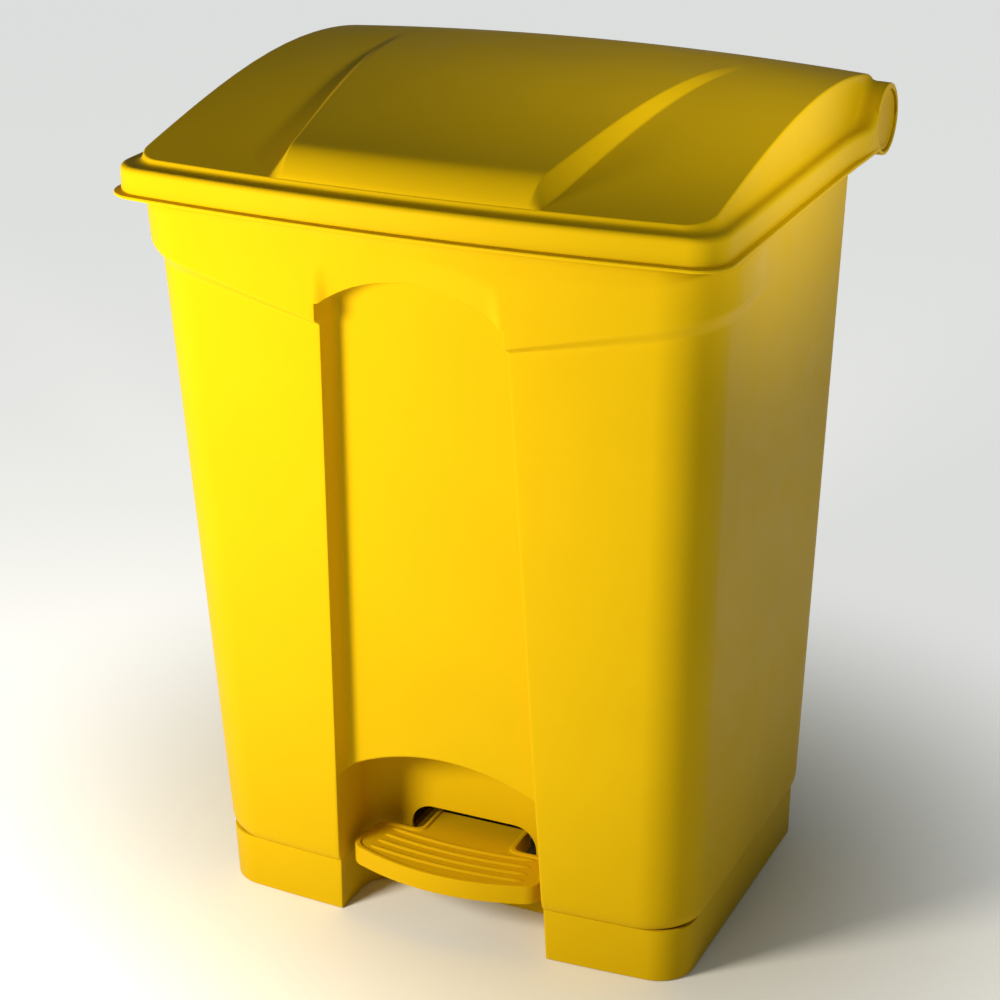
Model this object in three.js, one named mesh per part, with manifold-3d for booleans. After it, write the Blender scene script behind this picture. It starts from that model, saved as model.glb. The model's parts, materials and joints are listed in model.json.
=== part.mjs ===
// Pedal bin: a tapered plastic tub on a plinth ring, a domed lid on a rear barrel hinge,
// and a foot pedal whose lever lifts the lid by a wire rod in the tub's rear channel.
// Millimetres. X to the right seen from the front, Y to the back, Z up. The front faces -Y.
// The origin is on the floor, under the middle of the whole bin.

import * as THREE from 'three';
import { mergeVertices } from 'three/addons/utils/BufferGeometryUtils.js';
import Module from 'manifold-3d';

const wasm = await Module();
wasm.setup();

// ---------- driving dimensions ----------

const WALL = 3;                    // moulded wall thickness
const GAP = 0.3;                   // clearance between pieces that touch

// Tub and plinth outline
const SEAM_Z = 48;                 // top of the plinth
const TUB_BOTTOM = SEAM_Z + GAP;
const RIM_Z = 637;                 // tub rim at the front and sides
const REAR_RIM_Z = 606;            // tub rim under the hinge barrel
const FLOOR_Z = 92;                // underside of the tub's floor
const SIDE_AT_0 = 212.5;           // tub half-width if its side ran down to the floor
const SIDE_DRAFT = 0.0365;         // how much the half-width grows per mm of height
const FRONT_AT_0 = 147;            // tub front, middle, at floor level
const FRONT_DRAFT = 0.0585;
const REAR_Y = 158;                // tub rear wall, upright
const FRONT_BOW = 9;               // how far the front's ends lie behind its middle
const FRONT_CORNER_R = 42;
const REAR_CORNER_R = 30;
const PLINTH_INSET = 3.5;
const PLINTH_DRAFT = 1;            // plinth is this much smaller at the floor

// Collar round the top of the tub
const COLLAR_PROUD = 8;
const COLLAR_LOW = 534;            // its lower edge beside the recess
const COLLAR_RISE = 0.2;           // slope of that edge out to the corners
const COLLAR_TOP = 616;            // its upper edge, under the lid's lip
const COLLAR_FADE = [-130, 60];    // Y range in which it fades into the tub's sides

// Arched recess in the front, and the pedal niche at its foot
const RECESS_HALF_AT_0 = 94;
const RECESS_TAPER = 0.0305;       // the recess narrows upward
const RECESS_DEPTH = 20;
const ARCH_SPRING_Z = 554;
const ARCH_RISE = 24;
const NICHE_SPRING_Z = 133;
const NICHE_RISE = 25;
const NICHE_BACK_Y = -80;
const NICHE_FILLET_R = 24;
const SLOT_HALF = 58;              // opening for the pedal's neck in the niche's back
const SLOT_TOP_Z = 79;
const SLOT_BOTTOM_Z = 12;

// Channel for the lift rod in the rear wall
const CHANNEL_HALF = 30;
const CHANNEL_Y = 120;             // its front wall

// Lid
const LIP_HALF = 250;              // the whole bin's half-width
const LIP_FRONT = 212.5;
const SKIRT_INSET = 5;
const LIP_Z = 620;
const LIP_HEIGHT = 3;
const LEDGE_Z = 643.5;
const LID_BOW = 14.5;
const LID_CORNER_R = 27;
const PANEL_HALF = 230;            // half-width of the domed panel
const PANEL_SETBACK = 16;          // from the skirt's front to the panel's front edge
const CROWN = 8;                   // how far the dome's middle stands over its sides at the back
const BULGE_FRONT_Z_END = 105;     // the raised centre panel runs out into the dome at this Y

// Hinge
const AXIS_Y = 183.1;
const AXIS_Z = 641.5;
const BARREL_R = 29.4;
const BARREL_WALL = 3.6;
const LUG_X = 158;                 // middle of each hinge lug on the tub
const LUG_THICK = 16;
const LUG_R = 12;
const ROD_R = 4;

// Lift linkage
const LIFT_R = 40;                 // from the hinge axis to the lid's lift lug
const LIFT_ANGLE = 40;             // lug below the horizontal when the lid is closed
const WIRE_R = 3.5;
const WIRE_X = -11;
const ROD_LEAN = 12;               // the rod's foot stands this far forward of its head
const LOWER_PIN_Z = 24;

// Pedal and its lever
const AXLE_Y = -20;
const AXLE_Z = 34;
const AXLE_R = 4;
const AXLE_HALF = 72;
const RIB_X = 62;                  // middle of each rib that carries the axle
const RIB_THICK = 5;
const TREAD_TOP = 64;
const TREAD_THICK = 17;
const TREAD_HALF = 85;
const TREAD_FRONT = -157;
const TREAD_BACK = -93;
const NECK_HALF = 43;
const NECK_BACK = -58;

// ---------- materials ----------

function plastic(colour, roughness = 0.42) {
  return new THREE.MeshStandardMaterial({ color: colour, roughness, metalness: 0 });
}

const yellow = plastic(0xf2c80f);
const nylon = plastic(0xd9d6cc, 0.5);
const steel = new THREE.MeshStandardMaterial({ color: 0xb4b6b8, roughness: 0.35, metalness: 1 });

// ---------- solids ----------

/** A manifold solid from a closed three.js geometry. */
function solid(geometry) {
  const bare = geometry.clone();
  bare.deleteAttribute('normal');
  bare.deleteAttribute('uv');
  const merged = mergeVertices(bare, 1e-4);
  const mesh = new wasm.Mesh({
    numProp: 3,
    vertProperties: new Float32Array(merged.attributes.position.array),
    triVerts: new Uint32Array(merged.index.array),
  });
  return new wasm.Manifold(mesh);
}

const bin = new THREE.Group();

/** Adds a manifold solid to the bin as one named mesh. */
function add(name, shape, material) {
  const mesh = shape.getMesh();
  const geometry = new THREE.BufferGeometry();
  geometry.setAttribute('position', new THREE.BufferAttribute(mesh.vertProperties, 3));
  geometry.setIndex(new THREE.BufferAttribute(mesh.triVerts, 1));
  geometry.computeVertexNormals();
  const node = new THREE.Mesh(geometry, material);
  node.name = name;
  bin.add(node);
}

const radians = (degrees) => degrees * Math.PI / 180;
const mix = (a, b, t) => a + (b - a) * t;
const clamp01 = (t) => Math.min(1, Math.max(0, t));
const smooth = (t) => clamp01(t) ** 2 * (3 - 2 * clamp01(t));

function box(x0, x1, y0, y1, z0, z1) {
  const geometry = new THREE.BoxGeometry(x1 - x0, y1 - y0, z1 - z0);
  geometry.translate((x0 + x1) / 2, (y0 + y1) / 2, (z0 + z1) / 2);
  return solid(geometry);
}

/** A round bar from x0 to x1 along X. */
function barX(radius, x0, x1, y, z, sides = 20) {
  const geometry = new THREE.CylinderGeometry(radius, radius, x1 - x0, sides);
  geometry.rotateZ(-Math.PI / 2);
  geometry.translate((x0 + x1) / 2, y, z);
  return solid(geometry);
}

/** A round bar from z0 to z1 along Z. */
function barZ(radius, x, y, z0, z1, sides = 16) {
  const geometry = new THREE.CylinderGeometry(radius, radius, z1 - z0, sides);
  geometry.rotateX(Math.PI / 2);
  geometry.translate(x, y, (z0 + z1) / 2);
  return solid(geometry);
}

/** A round bar from y0 to y1 along Y. */
function barY(radius, x, y0, y1, z, sides = 16) {
  const geometry = new THREE.CylinderGeometry(radius, radius, y1 - y0, sides);
  geometry.translate(x, (y0 + y1) / 2, z);
  return solid(geometry);
}

/** An outline in X and Z, extruded from y0 to y1. */
function prismY(shape, y0, y1, curveSegments = 12) {
  const geometry = new THREE.ExtrudeGeometry(shape, { depth: y1 - y0, bevelEnabled: false, curveSegments });
  geometry.rotateX(Math.PI / 2);
  geometry.translate(0, y1, 0);
  return solid(geometry);
}

/** An outline in X and Y, extruded from z0 to z1. */
function prismZ(shape, z0, z1, curveSegments = 6) {
  const geometry = new THREE.ExtrudeGeometry(shape, { depth: z1 - z0, bevelEnabled: false, curveSegments });
  geometry.translate(0, 0, z0);
  return solid(geometry);
}

/** An outline in Y and Z, extruded from x0 to x1. */
function prismX(shape, x0, x1, curveSegments = 12) {
  const geometry = new THREE.ExtrudeGeometry(shape, { depth: x1 - x0, bevelEnabled: false, curveSegments });
  geometry.rotateX(Math.PI / 2);
  geometry.rotateZ(Math.PI / 2);
  geometry.translate(x0, 0, 0);
  return solid(geometry);
}

function polygon(points) {
  const shape = new THREE.Shape();
  points.forEach(([a, b], i) => (i ? shape.lineTo(a, b) : shape.moveTo(a, b)));
  shape.closePath();
  return shape;
}

/** Triangles between neighbouring rings that all have the same number of points. */
function bands(rings) {
  const count = rings[0].length;
  const index = [];
  for (let r = 0; r + 1 < rings.length; r += 1) {
    for (let i = 0; i < count; i += 1) {
      const a = r * count + i;
      const b = r * count + (i + 1) % count;
      index.push(a, b, b + count, a, b + count, a + count);
    }
  }
  return index;
}

/** A closed skin over a stack of level rings, bottom ring first. */
function loft(rings) {
  const count = rings[0].length;
  const positions = rings.flat(2);
  const index = bands(rings);
  const flat = rings[0].map(([x, y]) => new THREE.Vector2(x, y));
  const top = (rings.length - 1) * count;
  for (const [a, b, c] of THREE.ShapeUtils.triangulateShape(flat, [])) {
    index.push(c, b, a, top + a, top + b, top + c);
  }
  const geometry = new THREE.BufferGeometry();
  geometry.setAttribute('position', new THREE.Float32BufferAttribute(positions, 3));
  geometry.setIndex(index);
  return solid(geometry);
}

// ---------- outlines ----------

/** A rounded rectangle whose front side is bowed forward, as points round it, seen from above. */
function outline({ half, front, rear, bow, frontR, rearR, corner = 5, across = 8 }) {
  const points = [];
  const bowAt = (x) => front + bow * (x / half) ** 2;
  const arc = (cx, cy, r, from) => {
    for (let i = 0; i <= corner; i += 1) {
      const a = radians(from + 90 * i / corner);
      points.push([cx + r * Math.cos(a), cy + r * Math.sin(a)]);
    }
  };
  for (let i = 1; i < across; i += 1) {
    const x = mix(-(half - frontR), half - frontR, i / across);
    points.push([x, bowAt(x)]);
  }
  arc(half - frontR, bowAt(half - frontR) + frontR, frontR, -90);
  arc(half - rearR, rear - rearR, rearR, 0);
  arc(-(half - rearR), rear - rearR, rearR, 90);
  arc(-(half - frontR), bowAt(half - frontR) + frontR, frontR, 180);
  return points;
}

/** The tub's outline at height z, moved inward by inset and outward by the collar where it stands proud. */
function tubRing(z, inset = 0, proud = 0) {
  const half = SIDE_AT_0 + SIDE_DRAFT * z - inset;
  const front = -(FRONT_AT_0 + FRONT_DRAFT * z) + inset;
  const points = outline({
    half, front, rear: REAR_Y - inset, bow: FRONT_BOW,
    frontR: FRONT_CORNER_R - inset, rearR: REAR_CORNER_R - inset,
  });
  return points.map(([x, y]) => {
    const fade = 1 - smooth((y - COLLAR_FADE[0]) / (COLLAR_FADE[1] - COLLAR_FADE[0]));
    const out = proud * fade;
    const sideways = clamp01((Math.abs(x) - half + FRONT_CORNER_R) / FRONT_CORNER_R);
    const forward = Math.sqrt(1 - sideways ** 2);
    return [x + Math.sign(x) * out * sideways, y - out * (y < 0 ? forward : 0), z];
  });
}

const tub = (heights, inset, proud) => loft(heights.map((z) => tubRing(z, inset, proud)));

/** Tub front surface at the middle, at height z. */
const tubFront = (z) => -(FRONT_AT_0 + FRONT_DRAFT * z);

/** Half-width of the recess and niche at height z. */
const recessHalf = (z) => RECESS_HALF_AT_0 - RECESS_TAPER * z;

/** A tapered slab with an arched top, seen from the front. */
function archShape(bottom, spring, rise, grow = 0) {
  const half = recessHalf(spring) + grow;
  const radius = (half ** 2 + (rise + grow) ** 2) / (2 * (rise + grow));
  const angle = Math.asin(half / radius);
  const shape = new THREE.Shape();
  shape.moveTo(-recessHalf(bottom) - grow, bottom);
  shape.lineTo(recessHalf(bottom) + grow, bottom);
  shape.lineTo(half, spring);
  shape.absarc(0, spring + rise + grow - radius, radius, Math.PI / 2 - angle, Math.PI / 2 + angle, false);
  shape.closePath();
  return shape;
}

/** The recess, cut parallel to the sloping front. */
function recessCut(grow) {
  const slab = new THREE.ExtrudeGeometry(archShape(-20, ARCH_SPRING_Z, ARCH_RISE, grow), {
    depth: 120, bevelEnabled: false, curveSegments: 12,
  });
  slab.rotateX(Math.PI / 2);
  const shear = new THREE.Matrix4().makeShear(0, 0, 0, 0, 0, -FRONT_DRAFT);
  slab.applyMatrix4(shear);
  slab.translate(0, -FRONT_AT_0 + RECESS_DEPTH + grow, 0);
  return solid(slab);
}

/** The pedal niche: a deeper arched hollow between the legs, with rounded rear corners seen from above. */
function nicheCut(grow) {
  const arch = prismY(archShape(-20, NICHE_SPRING_Z, NICHE_RISE, grow), -260, NICHE_BACK_Y + grow);
  const half = RECESS_HALF_AT_0 + grow;
  const back = NICHE_BACK_Y + grow;
  const r = NICHE_FILLET_R;
  const plan = new THREE.Shape();
  plan.moveTo(-half, -260);
  plan.lineTo(half, -260);
  plan.lineTo(half, back - r);
  plan.absarc(half - r, back - r, r, 0, Math.PI / 2, false);
  plan.lineTo(-half + r, back);
  plan.absarc(-half + r, back - r, r, Math.PI / 2, Math.PI, false);
  plan.closePath();
  return arch.intersect(prismZ(plan, -30, 300));
}

const slotCut = (z0, z1) => box(-SLOT_HALF, SLOT_HALF, NICHE_BACK_Y - 12, NICHE_BACK_Y + 12, z0, z1);

/** The lift rod's channel in the tub's rear wall. */
function channelCut(grow) {
  return box(-CHANNEL_HALF - grow, CHANNEL_HALF + grow, CHANNEL_Y - grow, REAR_Y + 40, 0, 700);
}

// ---------- tub ----------

const baseScrewSpots = [[-168, -112], [168, -112], [-176, 118], [176, 118]];
const coverScrewSpots = [[-38, 120], [38, 120], [-38, 560], [38, 560]];
const COVER_HALF = 45;
const COVER_THICK = 2.5;

/** Collar band of the tub, with its sloping lower edge, moved inward by inset. */
function collarBand(inset) {
  const low = COLLAR_LOW + inset;
  const band = tub([COLLAR_LOW - 20, COLLAR_TOP - inset], inset, COLLAR_PROUD);
  const inner = recessHalf(low);
  const end = low + COLLAR_RISE * (300 - inner);
  const cut = polygon([[-300, end], [-inner, low], [inner, low], [300, end], [300, 400], [-300, 400]]);
  return band.subtract(prismY(cut, -300, 300));
}

/** What is cut off the top of the tub, lower at the rear to clear the lid's barrel. */
function rimCut() {
  return prismX(polygon([[-300, RIM_Z], [108, RIM_Z], [146, REAR_RIM_Z], [300, REAR_RIM_Z], [300, 800],
    [-300, 800]]), -300, 300);
}

function tubOuter(inset) {
  const heights = [TUB_BOTTOM - (inset ? 10 : 0), 300, RIM_Z + 40];
  return tub(heights, inset, 0).add(collarBand(inset));
}

function hingeLug(x) {
  const shape = new THREE.Shape();
  const base = REAR_Y - WALL + 0.5;
  shape.moveTo(base, 566);
  shape.lineTo(AXIS_Y + LUG_R * Math.cos(radians(-30)), AXIS_Z + LUG_R * Math.sin(radians(-30)));
  shape.absarc(AXIS_Y, AXIS_Z, LUG_R, radians(-30), radians(145), false);
  shape.lineTo(base, 605);
  shape.closePath();
  return prismX(shape, x - LUG_THICK / 2, x + LUG_THICK / 2, 8);
}

function makeTub() {
  let outer = tubOuter(0);
  let hollow = tub([FLOOR_Z + WALL, 300, RIM_Z + 40], WALL, 0).add(collarBand(WALL));
  hollow = hollow.intersect(box(-300, 300, -300, 300, FLOOR_Z + WALL, 700));
  let under = tub([20, 150], WALL, 0).intersect(box(-300, 300, -300, 300, 20, FLOOR_Z));
  for (const cut of [recessCut, nicheCut, channelCut]) {
    outer = outer.subtract(cut(0));
    hollow = hollow.subtract(cut(WALL));
    under = under.subtract(cut(WALL));
  }
  let shell = outer.subtract(hollow).subtract(under).subtract(rimCut());
  shell = shell.subtract(slotCut(0, SLOT_TOP_Z));
  shell = shell.subtract(box(-14, 14, CHANNEL_Y - 8, CHANNEL_Y + 8, 0, FLOOR_Z - 2));
  for (const side of [-1, 1]) {
    shell = shell.add(hingeLug(side * LUG_X));
    shell = shell.subtract(barX(6.8, side * LUG_X - 20, side * LUG_X + 20, AXIS_Y, AXIS_Z));
  }
  for (const [x, y] of baseScrewSpots) {
    shell = shell.add(barZ(7, x, y, TUB_BOTTOM, FLOOR_Z + 1)).subtract(barZ(2.5, x, y, 0, FLOOR_Z - 6));
  }
  for (const [x, z] of coverScrewSpots) shell = shell.subtract(barY(1.9, x, REAR_Y - 20, REAR_Y + 5, z));
  return shell;
}

// ---------- plinth ----------

function plinthRing(z, inset) {
  const at = PLINTH_INSET + inset + PLINTH_DRAFT * (1 - z / SEAM_Z);
  return outline({
    half: SIDE_AT_0 + SIDE_DRAFT * SEAM_Z - at, front: tubFront(SEAM_Z) + at,
    rear: REAR_Y - at, bow: FRONT_BOW, frontR: 30 - inset, rearR: 26 - inset,
  }).map(([x, y]) => [x, y, z]);
}

function makeBase() {
  const outer = loft([plinthRing(0, 0), plinthRing(SEAM_Z, 0)]).subtract(nicheCut(0));
  const hollow = loft([plinthRing(-10, WALL), plinthRing(SEAM_Z + 10, WALL)]).subtract(nicheCut(WALL));
  let base = outer.subtract(hollow);
  base = base.subtract(slotCut(SLOT_BOTTOM_Z, SEAM_Z + 10));
  for (const side of [-1, 1]) {
    const x = side * RIB_X;
    const rib = box(x - RIB_THICK / 2, x + RIB_THICK / 2, NICHE_BACK_Y + 1, REAR_Y - PLINTH_INSET - 2, 6, SEAM_Z);
    base = base.add(rib);
    base = base.subtract(barX(6.8, x - 10, x + 10, AXLE_Y, AXLE_Z));
  }
  for (const [x, y] of baseScrewSpots) {
    const wall = Math.sign(x) * (SIDE_AT_0 - PLINTH_INSET - 0.5);
    const web = box(Math.min(x, wall), Math.max(x, wall), y - 2, y + 2, 10, SEAM_Z);
    base = base.add(web).add(barZ(8, x, y, 4, SEAM_Z));
    base = base.subtract(barZ(2.5, x, y, -5, SEAM_Z + 5)).subtract(barZ(5.5, x, y, -5, 12));
  }
  return base;
}

// ---------- lid ----------

const skirtFront = -(LIP_FRONT - SKIRT_INSET);
const panelFront = skirtFront + PANEL_SETBACK;
const BARREL_X = LIP_HALF + 0.5;

/** Height of the domed panel's side edge at depth y. */
function edgeHeight(y) {
  const u = y / 100;
  return 682.8 + 10.3 * u - 5.7 * u ** 2 - 0.9 * u ** 3;
}

/** Top of the lid outside the domed panel: a flat ledge that sweeps up over the hinge barrel. */
function ledgeHeight(y) {
  const filletR = 25;
  const reach = Math.sqrt((filletR + BARREL_R) ** 2 - (LEDGE_Z + filletR - AXIS_Z) ** 2);
  const start = AXIS_Y - reach;
  const meet = AXIS_Y - reach * BARREL_R / (filletR + BARREL_R);
  if (y <= start) return LEDGE_Z;
  if (y <= meet) return LEDGE_Z + filletR - Math.sqrt(filletR ** 2 - (y - start) ** 2);
  return AXIS_Z + Math.sqrt(BARREL_R ** 2 - (y - AXIS_Y) ** 2);
}

/** Top of the domed panel, with the raised centre inside xTop and its slope out to xFoot. */
function domeHeight(x, y) {
  const rise = smooth((y - panelFront) / 240);
  const crown = CROWN * rise * (1 - (x / PANEL_HALF) ** 2);
  return edgeHeight(y) + crown;
}

const bulgeTopX = (y) => 127.6 + 0.148 * y;
const bulgeFootX = (y) => 137 + 0.146 * y;
const bulgeRise = (y) => Math.max(0, 5.6 * (1 - y / BULGE_FRONT_Z_END)) * smooth((y - panelFront + 2) / 24);

/** Rows of the lid's top from front to back, each with its Y at the middle and what it belongs to. */
function lidRows() {
  const panel = [0, 4, 10, 18, 30, 50, 80, 120, 165, 215, 262, 305];
  const rows = [{ y: skirtFront + 0.01, panel: false }, { y: panelFront - 1.5, panel: false }];
  panel.forEach((d) => rows.push({ y: panelFront + d, panel: true }));
  [-20, -13, -6, 0].forEach((d) => rows.push({ y: AXIS_Y + d, panel: true }));
  return rows;
}

/** Points across one row: [x, height]. */
function lidColumns(y, panel) {
  const half = LIP_HALF - SKIRT_INSET;
  const top = (x) => (panel ? domeHeight(x, y) : ledgeHeight(y));
  const lift = panel ? bulgeRise(y) : 0;
  const right = [
    [0, top(0) + lift], [70, top(70) + lift],
    [bulgeTopX(y), top(bulgeTopX(y)) + lift], [bulgeFootX(y), top(bulgeFootX(y))],
    [190, top(190)], [PANEL_HALF, top(PANEL_HALF)],
    [PANEL_HALF + 2, panel ? Math.min(ledgeHeight(y) + 6, top(PANEL_HALF)) : ledgeHeight(y)],
    [PANEL_HALF + 8, ledgeHeight(y)], [half, ledgeHeight(y)],
  ];
  const left = right.slice(1).reverse().map(([x, z]) => [-x, z]);
  return left.concat(right);
}

/** The lid's top skin, one wall thick, swept from the skirt's front edge over the barrel. */
function lidTop() {
  const outer = [];
  const inner = [];
  for (const { y, panel } of lidRows()) {
    const bowed = (x) => y + LID_BOW * (x / LIP_HALF) ** 2 * clamp01((AXIS_Y - y) / 300);
    const row = lidColumns(y, panel);
    outer.push(row.map(([x, z]) => [x, bowed(x), z]));
    inner.push(row.map(([x, z]) => [x, bowed(x), z - WALL]));
  }
  const last = lidColumns(AXIS_Y, true);
  for (const angle of [70, 50, 30, 12, 0]) {
    const [c, s] = [Math.cos(radians(angle)), Math.sin(radians(angle))];
    outer.push(last.map(([x, z]) => [x, AXIS_Y + BARREL_R * c, AXIS_Z + (z - AXIS_Z) * s]));
    inner.push(last.map(([x, z]) => [x, AXIS_Y + (BARREL_R - WALL) * c, AXIS_Z + (z - WALL - AXIS_Z) * s]));
  }
  return sheet(outer, inner);
}

/** A closed solid between two grids of points, the first above the second. */
function sheet(upper, lower) {
  const rows = upper.length;
  const columns = upper[0].length;
  const positions = [...upper.flat(2), ...lower.flat(2)];
  const up = (r, c) => r * columns + c;
  const down = (r, c) => rows * columns + r * columns + c;
  const index = [];
  const quad = (a, b, c, d) => index.push(a, b, c, a, c, d);
  for (let r = 0; r + 1 < rows; r += 1) {
    for (let c = 0; c + 1 < columns; c += 1) {
      quad(up(r, c), up(r, c + 1), up(r + 1, c + 1), up(r + 1, c));
      quad(down(r, c), down(r + 1, c), down(r + 1, c + 1), down(r, c + 1));
    }
    quad(up(r, 0), up(r + 1, 0), down(r + 1, 0), down(r, 0));
    quad(up(r + 1, columns - 1), up(r, columns - 1), down(r, columns - 1), down(r + 1, columns - 1));
  }
  for (let c = 0; c + 1 < columns; c += 1) {
    quad(up(0, c + 1), up(0, c), down(0, c), down(0, c + 1));
    quad(up(rows - 1, c), up(rows - 1, c + 1), down(rows - 1, c + 1), down(rows - 1, c));
  }
  const geometry = new THREE.BufferGeometry();
  geometry.setAttribute('position', new THREE.Float32BufferAttribute(positions, 3));
  geometry.setIndex(index);
  return solid(geometry);
}

/** The lid's rounded outline in plan, inset from the lip. */
function lidPlan(inset, rear) {
  return outline({
    half: LIP_HALF - inset, front: -LIP_FRONT + inset, rear, bow: LID_BOW,
    frontR: LID_CORNER_R - inset * 0.6, rearR: 1, across: 10,
  });
}

const ringAt = (points, z) => points.map(([x, y]) => [x, y, z]);

function lidSolidBetween(inset, rear, z0, z1) {
  const plan = lidPlan(inset, rear);
  return loft([ringAt(plan, z0), ringAt(plan, z1)]);
}

/** A sector of the barrel's wall, between two angles seen along X (0 is to the rear, 90 is up). */
function barrelWindow(x0, x1, from, to) {
  const reach = 60;
  const shape = new THREE.Shape();
  shape.moveTo(AXIS_Y, AXIS_Z);
  shape.lineTo(AXIS_Y + reach * Math.cos(radians(from)), AXIS_Z + reach * Math.sin(radians(from)));
  shape.absarc(AXIS_Y, AXIS_Z, reach, radians(from), radians(to), false);
  shape.closePath();
  return prismX(shape, x0, x1, 8);
}

const liftPin = {
  y: AXIS_Y - LIFT_R * Math.cos(radians(LIFT_ANGLE)),
  z: AXIS_Z - LIFT_R * Math.sin(radians(LIFT_ANGLE)),
};

function makeLid() {
  const skirtRear = AXIS_Y - 4;
  const solidPlan = lidSolidBetween(SKIRT_INSET, AXIS_Y + 40, 560, 760);
  let lid = lidTop().intersect(solidPlan);
  const skirt = lidSolidBetween(SKIRT_INSET, skirtRear, LIP_Z, LEDGE_Z - 1)
    .add(lidSolidBetween(0, skirtRear, LIP_Z, LIP_Z + LIP_HEIGHT))
    .subtract(lidSolidBetween(SKIRT_INSET + WALL, AXIS_Y + 60, LIP_Z - 10, LEDGE_Z + 20));
  lid = lid.add(skirt);
  const tube = barX(BARREL_R, -BARREL_X, BARREL_X, AXIS_Y, AXIS_Z, 40);
  const bore = barX(BARREL_R - BARREL_WALL, -300, 300, AXIS_Y, AXIS_Z, 40);
  // The rear of the top skin closes the barrel from above, so the space between them stays solid.
  lid = lid.add(tube).subtract(bore);
  const pin = barX(9, -3, 3, liftPin.y, liftPin.z, 20);
  const web = prismX(polygon([
    [AXIS_Y - 26, AXIS_Z + 6], [AXIS_Y - 17, AXIS_Z - 22],
    [liftPin.y + 6, liftPin.z - 6], [liftPin.y - 7, liftPin.z + 6],
  ]), -3, 3);
  lid = lid.add(pin).add(web).subtract(bore);
  lid = lid.subtract(barX(WIRE_R + 0.5, -5, 5, liftPin.y, liftPin.z, 16));
  for (const side of [-1, 1]) {
    const x = side * LUG_X;
    lid = lid.subtract(barrelWindow(x - LUG_THICK / 2 - 2, x + LUG_THICK / 2 + 2, 209, 352));
  }
  lid = lid.subtract(barrelWindow(WIRE_X - 6, WIRE_X + 6, 196, 350));
  return lid;
}

// ---------- hinge ----------

function makeCap(side) {
  const face = barX(BARREL_R - BARREL_WALL - GAP, 0, 3, 0, 0, 32);
  const socket = barX(8, -15, 0.5, 0, 0, 20).subtract(barX(ROD_R + GAP, -16, 0, 0, 0, 20));
  const cap = face.add(socket);
  const turned = side > 0 ? cap : cap.rotate([0, 0, 180]);
  return turned.translate([side * (BARREL_X - 5), AXIS_Y, AXIS_Z]);
}

function makeHingeBush(side) {
  const tube = barX(6.5, -LUG_THICK / 2 - 0.5, LUG_THICK / 2 + 0.5, 0, 0);
  const flange = barX(9, LUG_THICK / 2 + GAP, LUG_THICK / 2 + 1.5, 0, 0);
  const bush = tube.add(flange).subtract(barX(ROD_R + 0.15, -20, 20, 0, 0));
  const turned = side > 0 ? bush : bush.rotate([0, 0, 180]);
  return turned.translate([side * LUG_X, AXIS_Y, AXIS_Z]);
}

// ---------- pedal ----------

/** The tread's plan: bowed front, rounded corners, and a neck running back into the slot. */
function treadPlan(inset) {
  const half = TREAD_HALF - inset;
  const neck = NECK_HALF - inset;
  const front = TREAD_FRONT + inset;
  const ends = TREAD_FRONT + 13 + inset;
  const back = TREAD_BACK - inset;
  const r = 13 - inset * 0.5;
  const shape = new THREE.Shape();
  shape.moveTo(-half + r, ends);
  shape.quadraticCurveTo(0, 2 * front - ends, half - r, ends);
  shape.quadraticCurveTo(half, ends + 2, half, ends + r + 4);
  shape.lineTo(half - 3, back - r);
  shape.quadraticCurveTo(half - 4, back, half - 4 - r, back);
  shape.lineTo(neck + 8, back);
  shape.quadraticCurveTo(neck, back, neck, back + 8);
  shape.lineTo(neck, NECK_BACK - inset);
  shape.lineTo(-neck, NECK_BACK - inset);
  shape.lineTo(-neck, back + 8);
  shape.quadraticCurveTo(-neck, back, -neck - 8, back);
  shape.lineTo(-half + 4 + r, back);
  shape.quadraticCurveTo(-half + 4, back, -half + 3, back - r);
  shape.lineTo(-half, ends + r + 4);
  shape.quadraticCurveTo(-half, ends + 2, -half + r, ends);
  return shape;
}

const treadScrewY = -104;
const TREAD_SCREW_X = 26;

function makeTread() {
  let tread = prismZ(treadPlan(0), TREAD_TOP - TREAD_THICK, TREAD_TOP);
  tread = tread.subtract(prismZ(treadPlan(WALL), TREAD_TOP - TREAD_THICK - 5, TREAD_TOP - WALL));
  const border = treadPlan(5);
  const well = prismZ(border, TREAD_TOP - 1, TREAD_TOP + 5)
    .intersect(box(-TREAD_HALF, TREAD_HALF, -200, TREAD_BACK - 4, 0, 100));
  tread = tread.subtract(well);
  for (let i = 0; i < 4; i += 1) {
    const y = TREAD_FRONT + 17 + i * 11;
    const half = 66 - i * 1.5;
    const rib = new THREE.Shape();
    rib.moveTo(-half, y + 8);
    rib.quadraticCurveTo(0, y - 8, half, y + 8);
    rib.lineTo(half, y + 10);
    rib.quadraticCurveTo(0, y - 6, -half, y + 10);
    rib.closePath();
    tread = tread.add(prismZ(rib, TREAD_TOP - 2, TREAD_TOP + 0.4, 8));
  }
  tread = tread.subtract(box(-30, 30, NECK_BACK - 10, NECK_BACK + 5, TREAD_TOP - TREAD_THICK - 5, TREAD_TOP - WALL));
  for (const side of [-1, 1]) {
    const x = side * TREAD_SCREW_X;
    tread = tread.add(barZ(5, x, treadScrewY, TREAD_TOP - WALL - 3.5, TREAD_TOP - WALL + 1));
    tread = tread.subtract(barZ(2.2, x, treadScrewY, 0, TREAD_TOP - WALL - 0.5));
  }
  return tread;
}

const PAD_TOP = TREAD_TOP - WALL - 3.5 - GAP;
const LEVER_THICK = 5;

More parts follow.
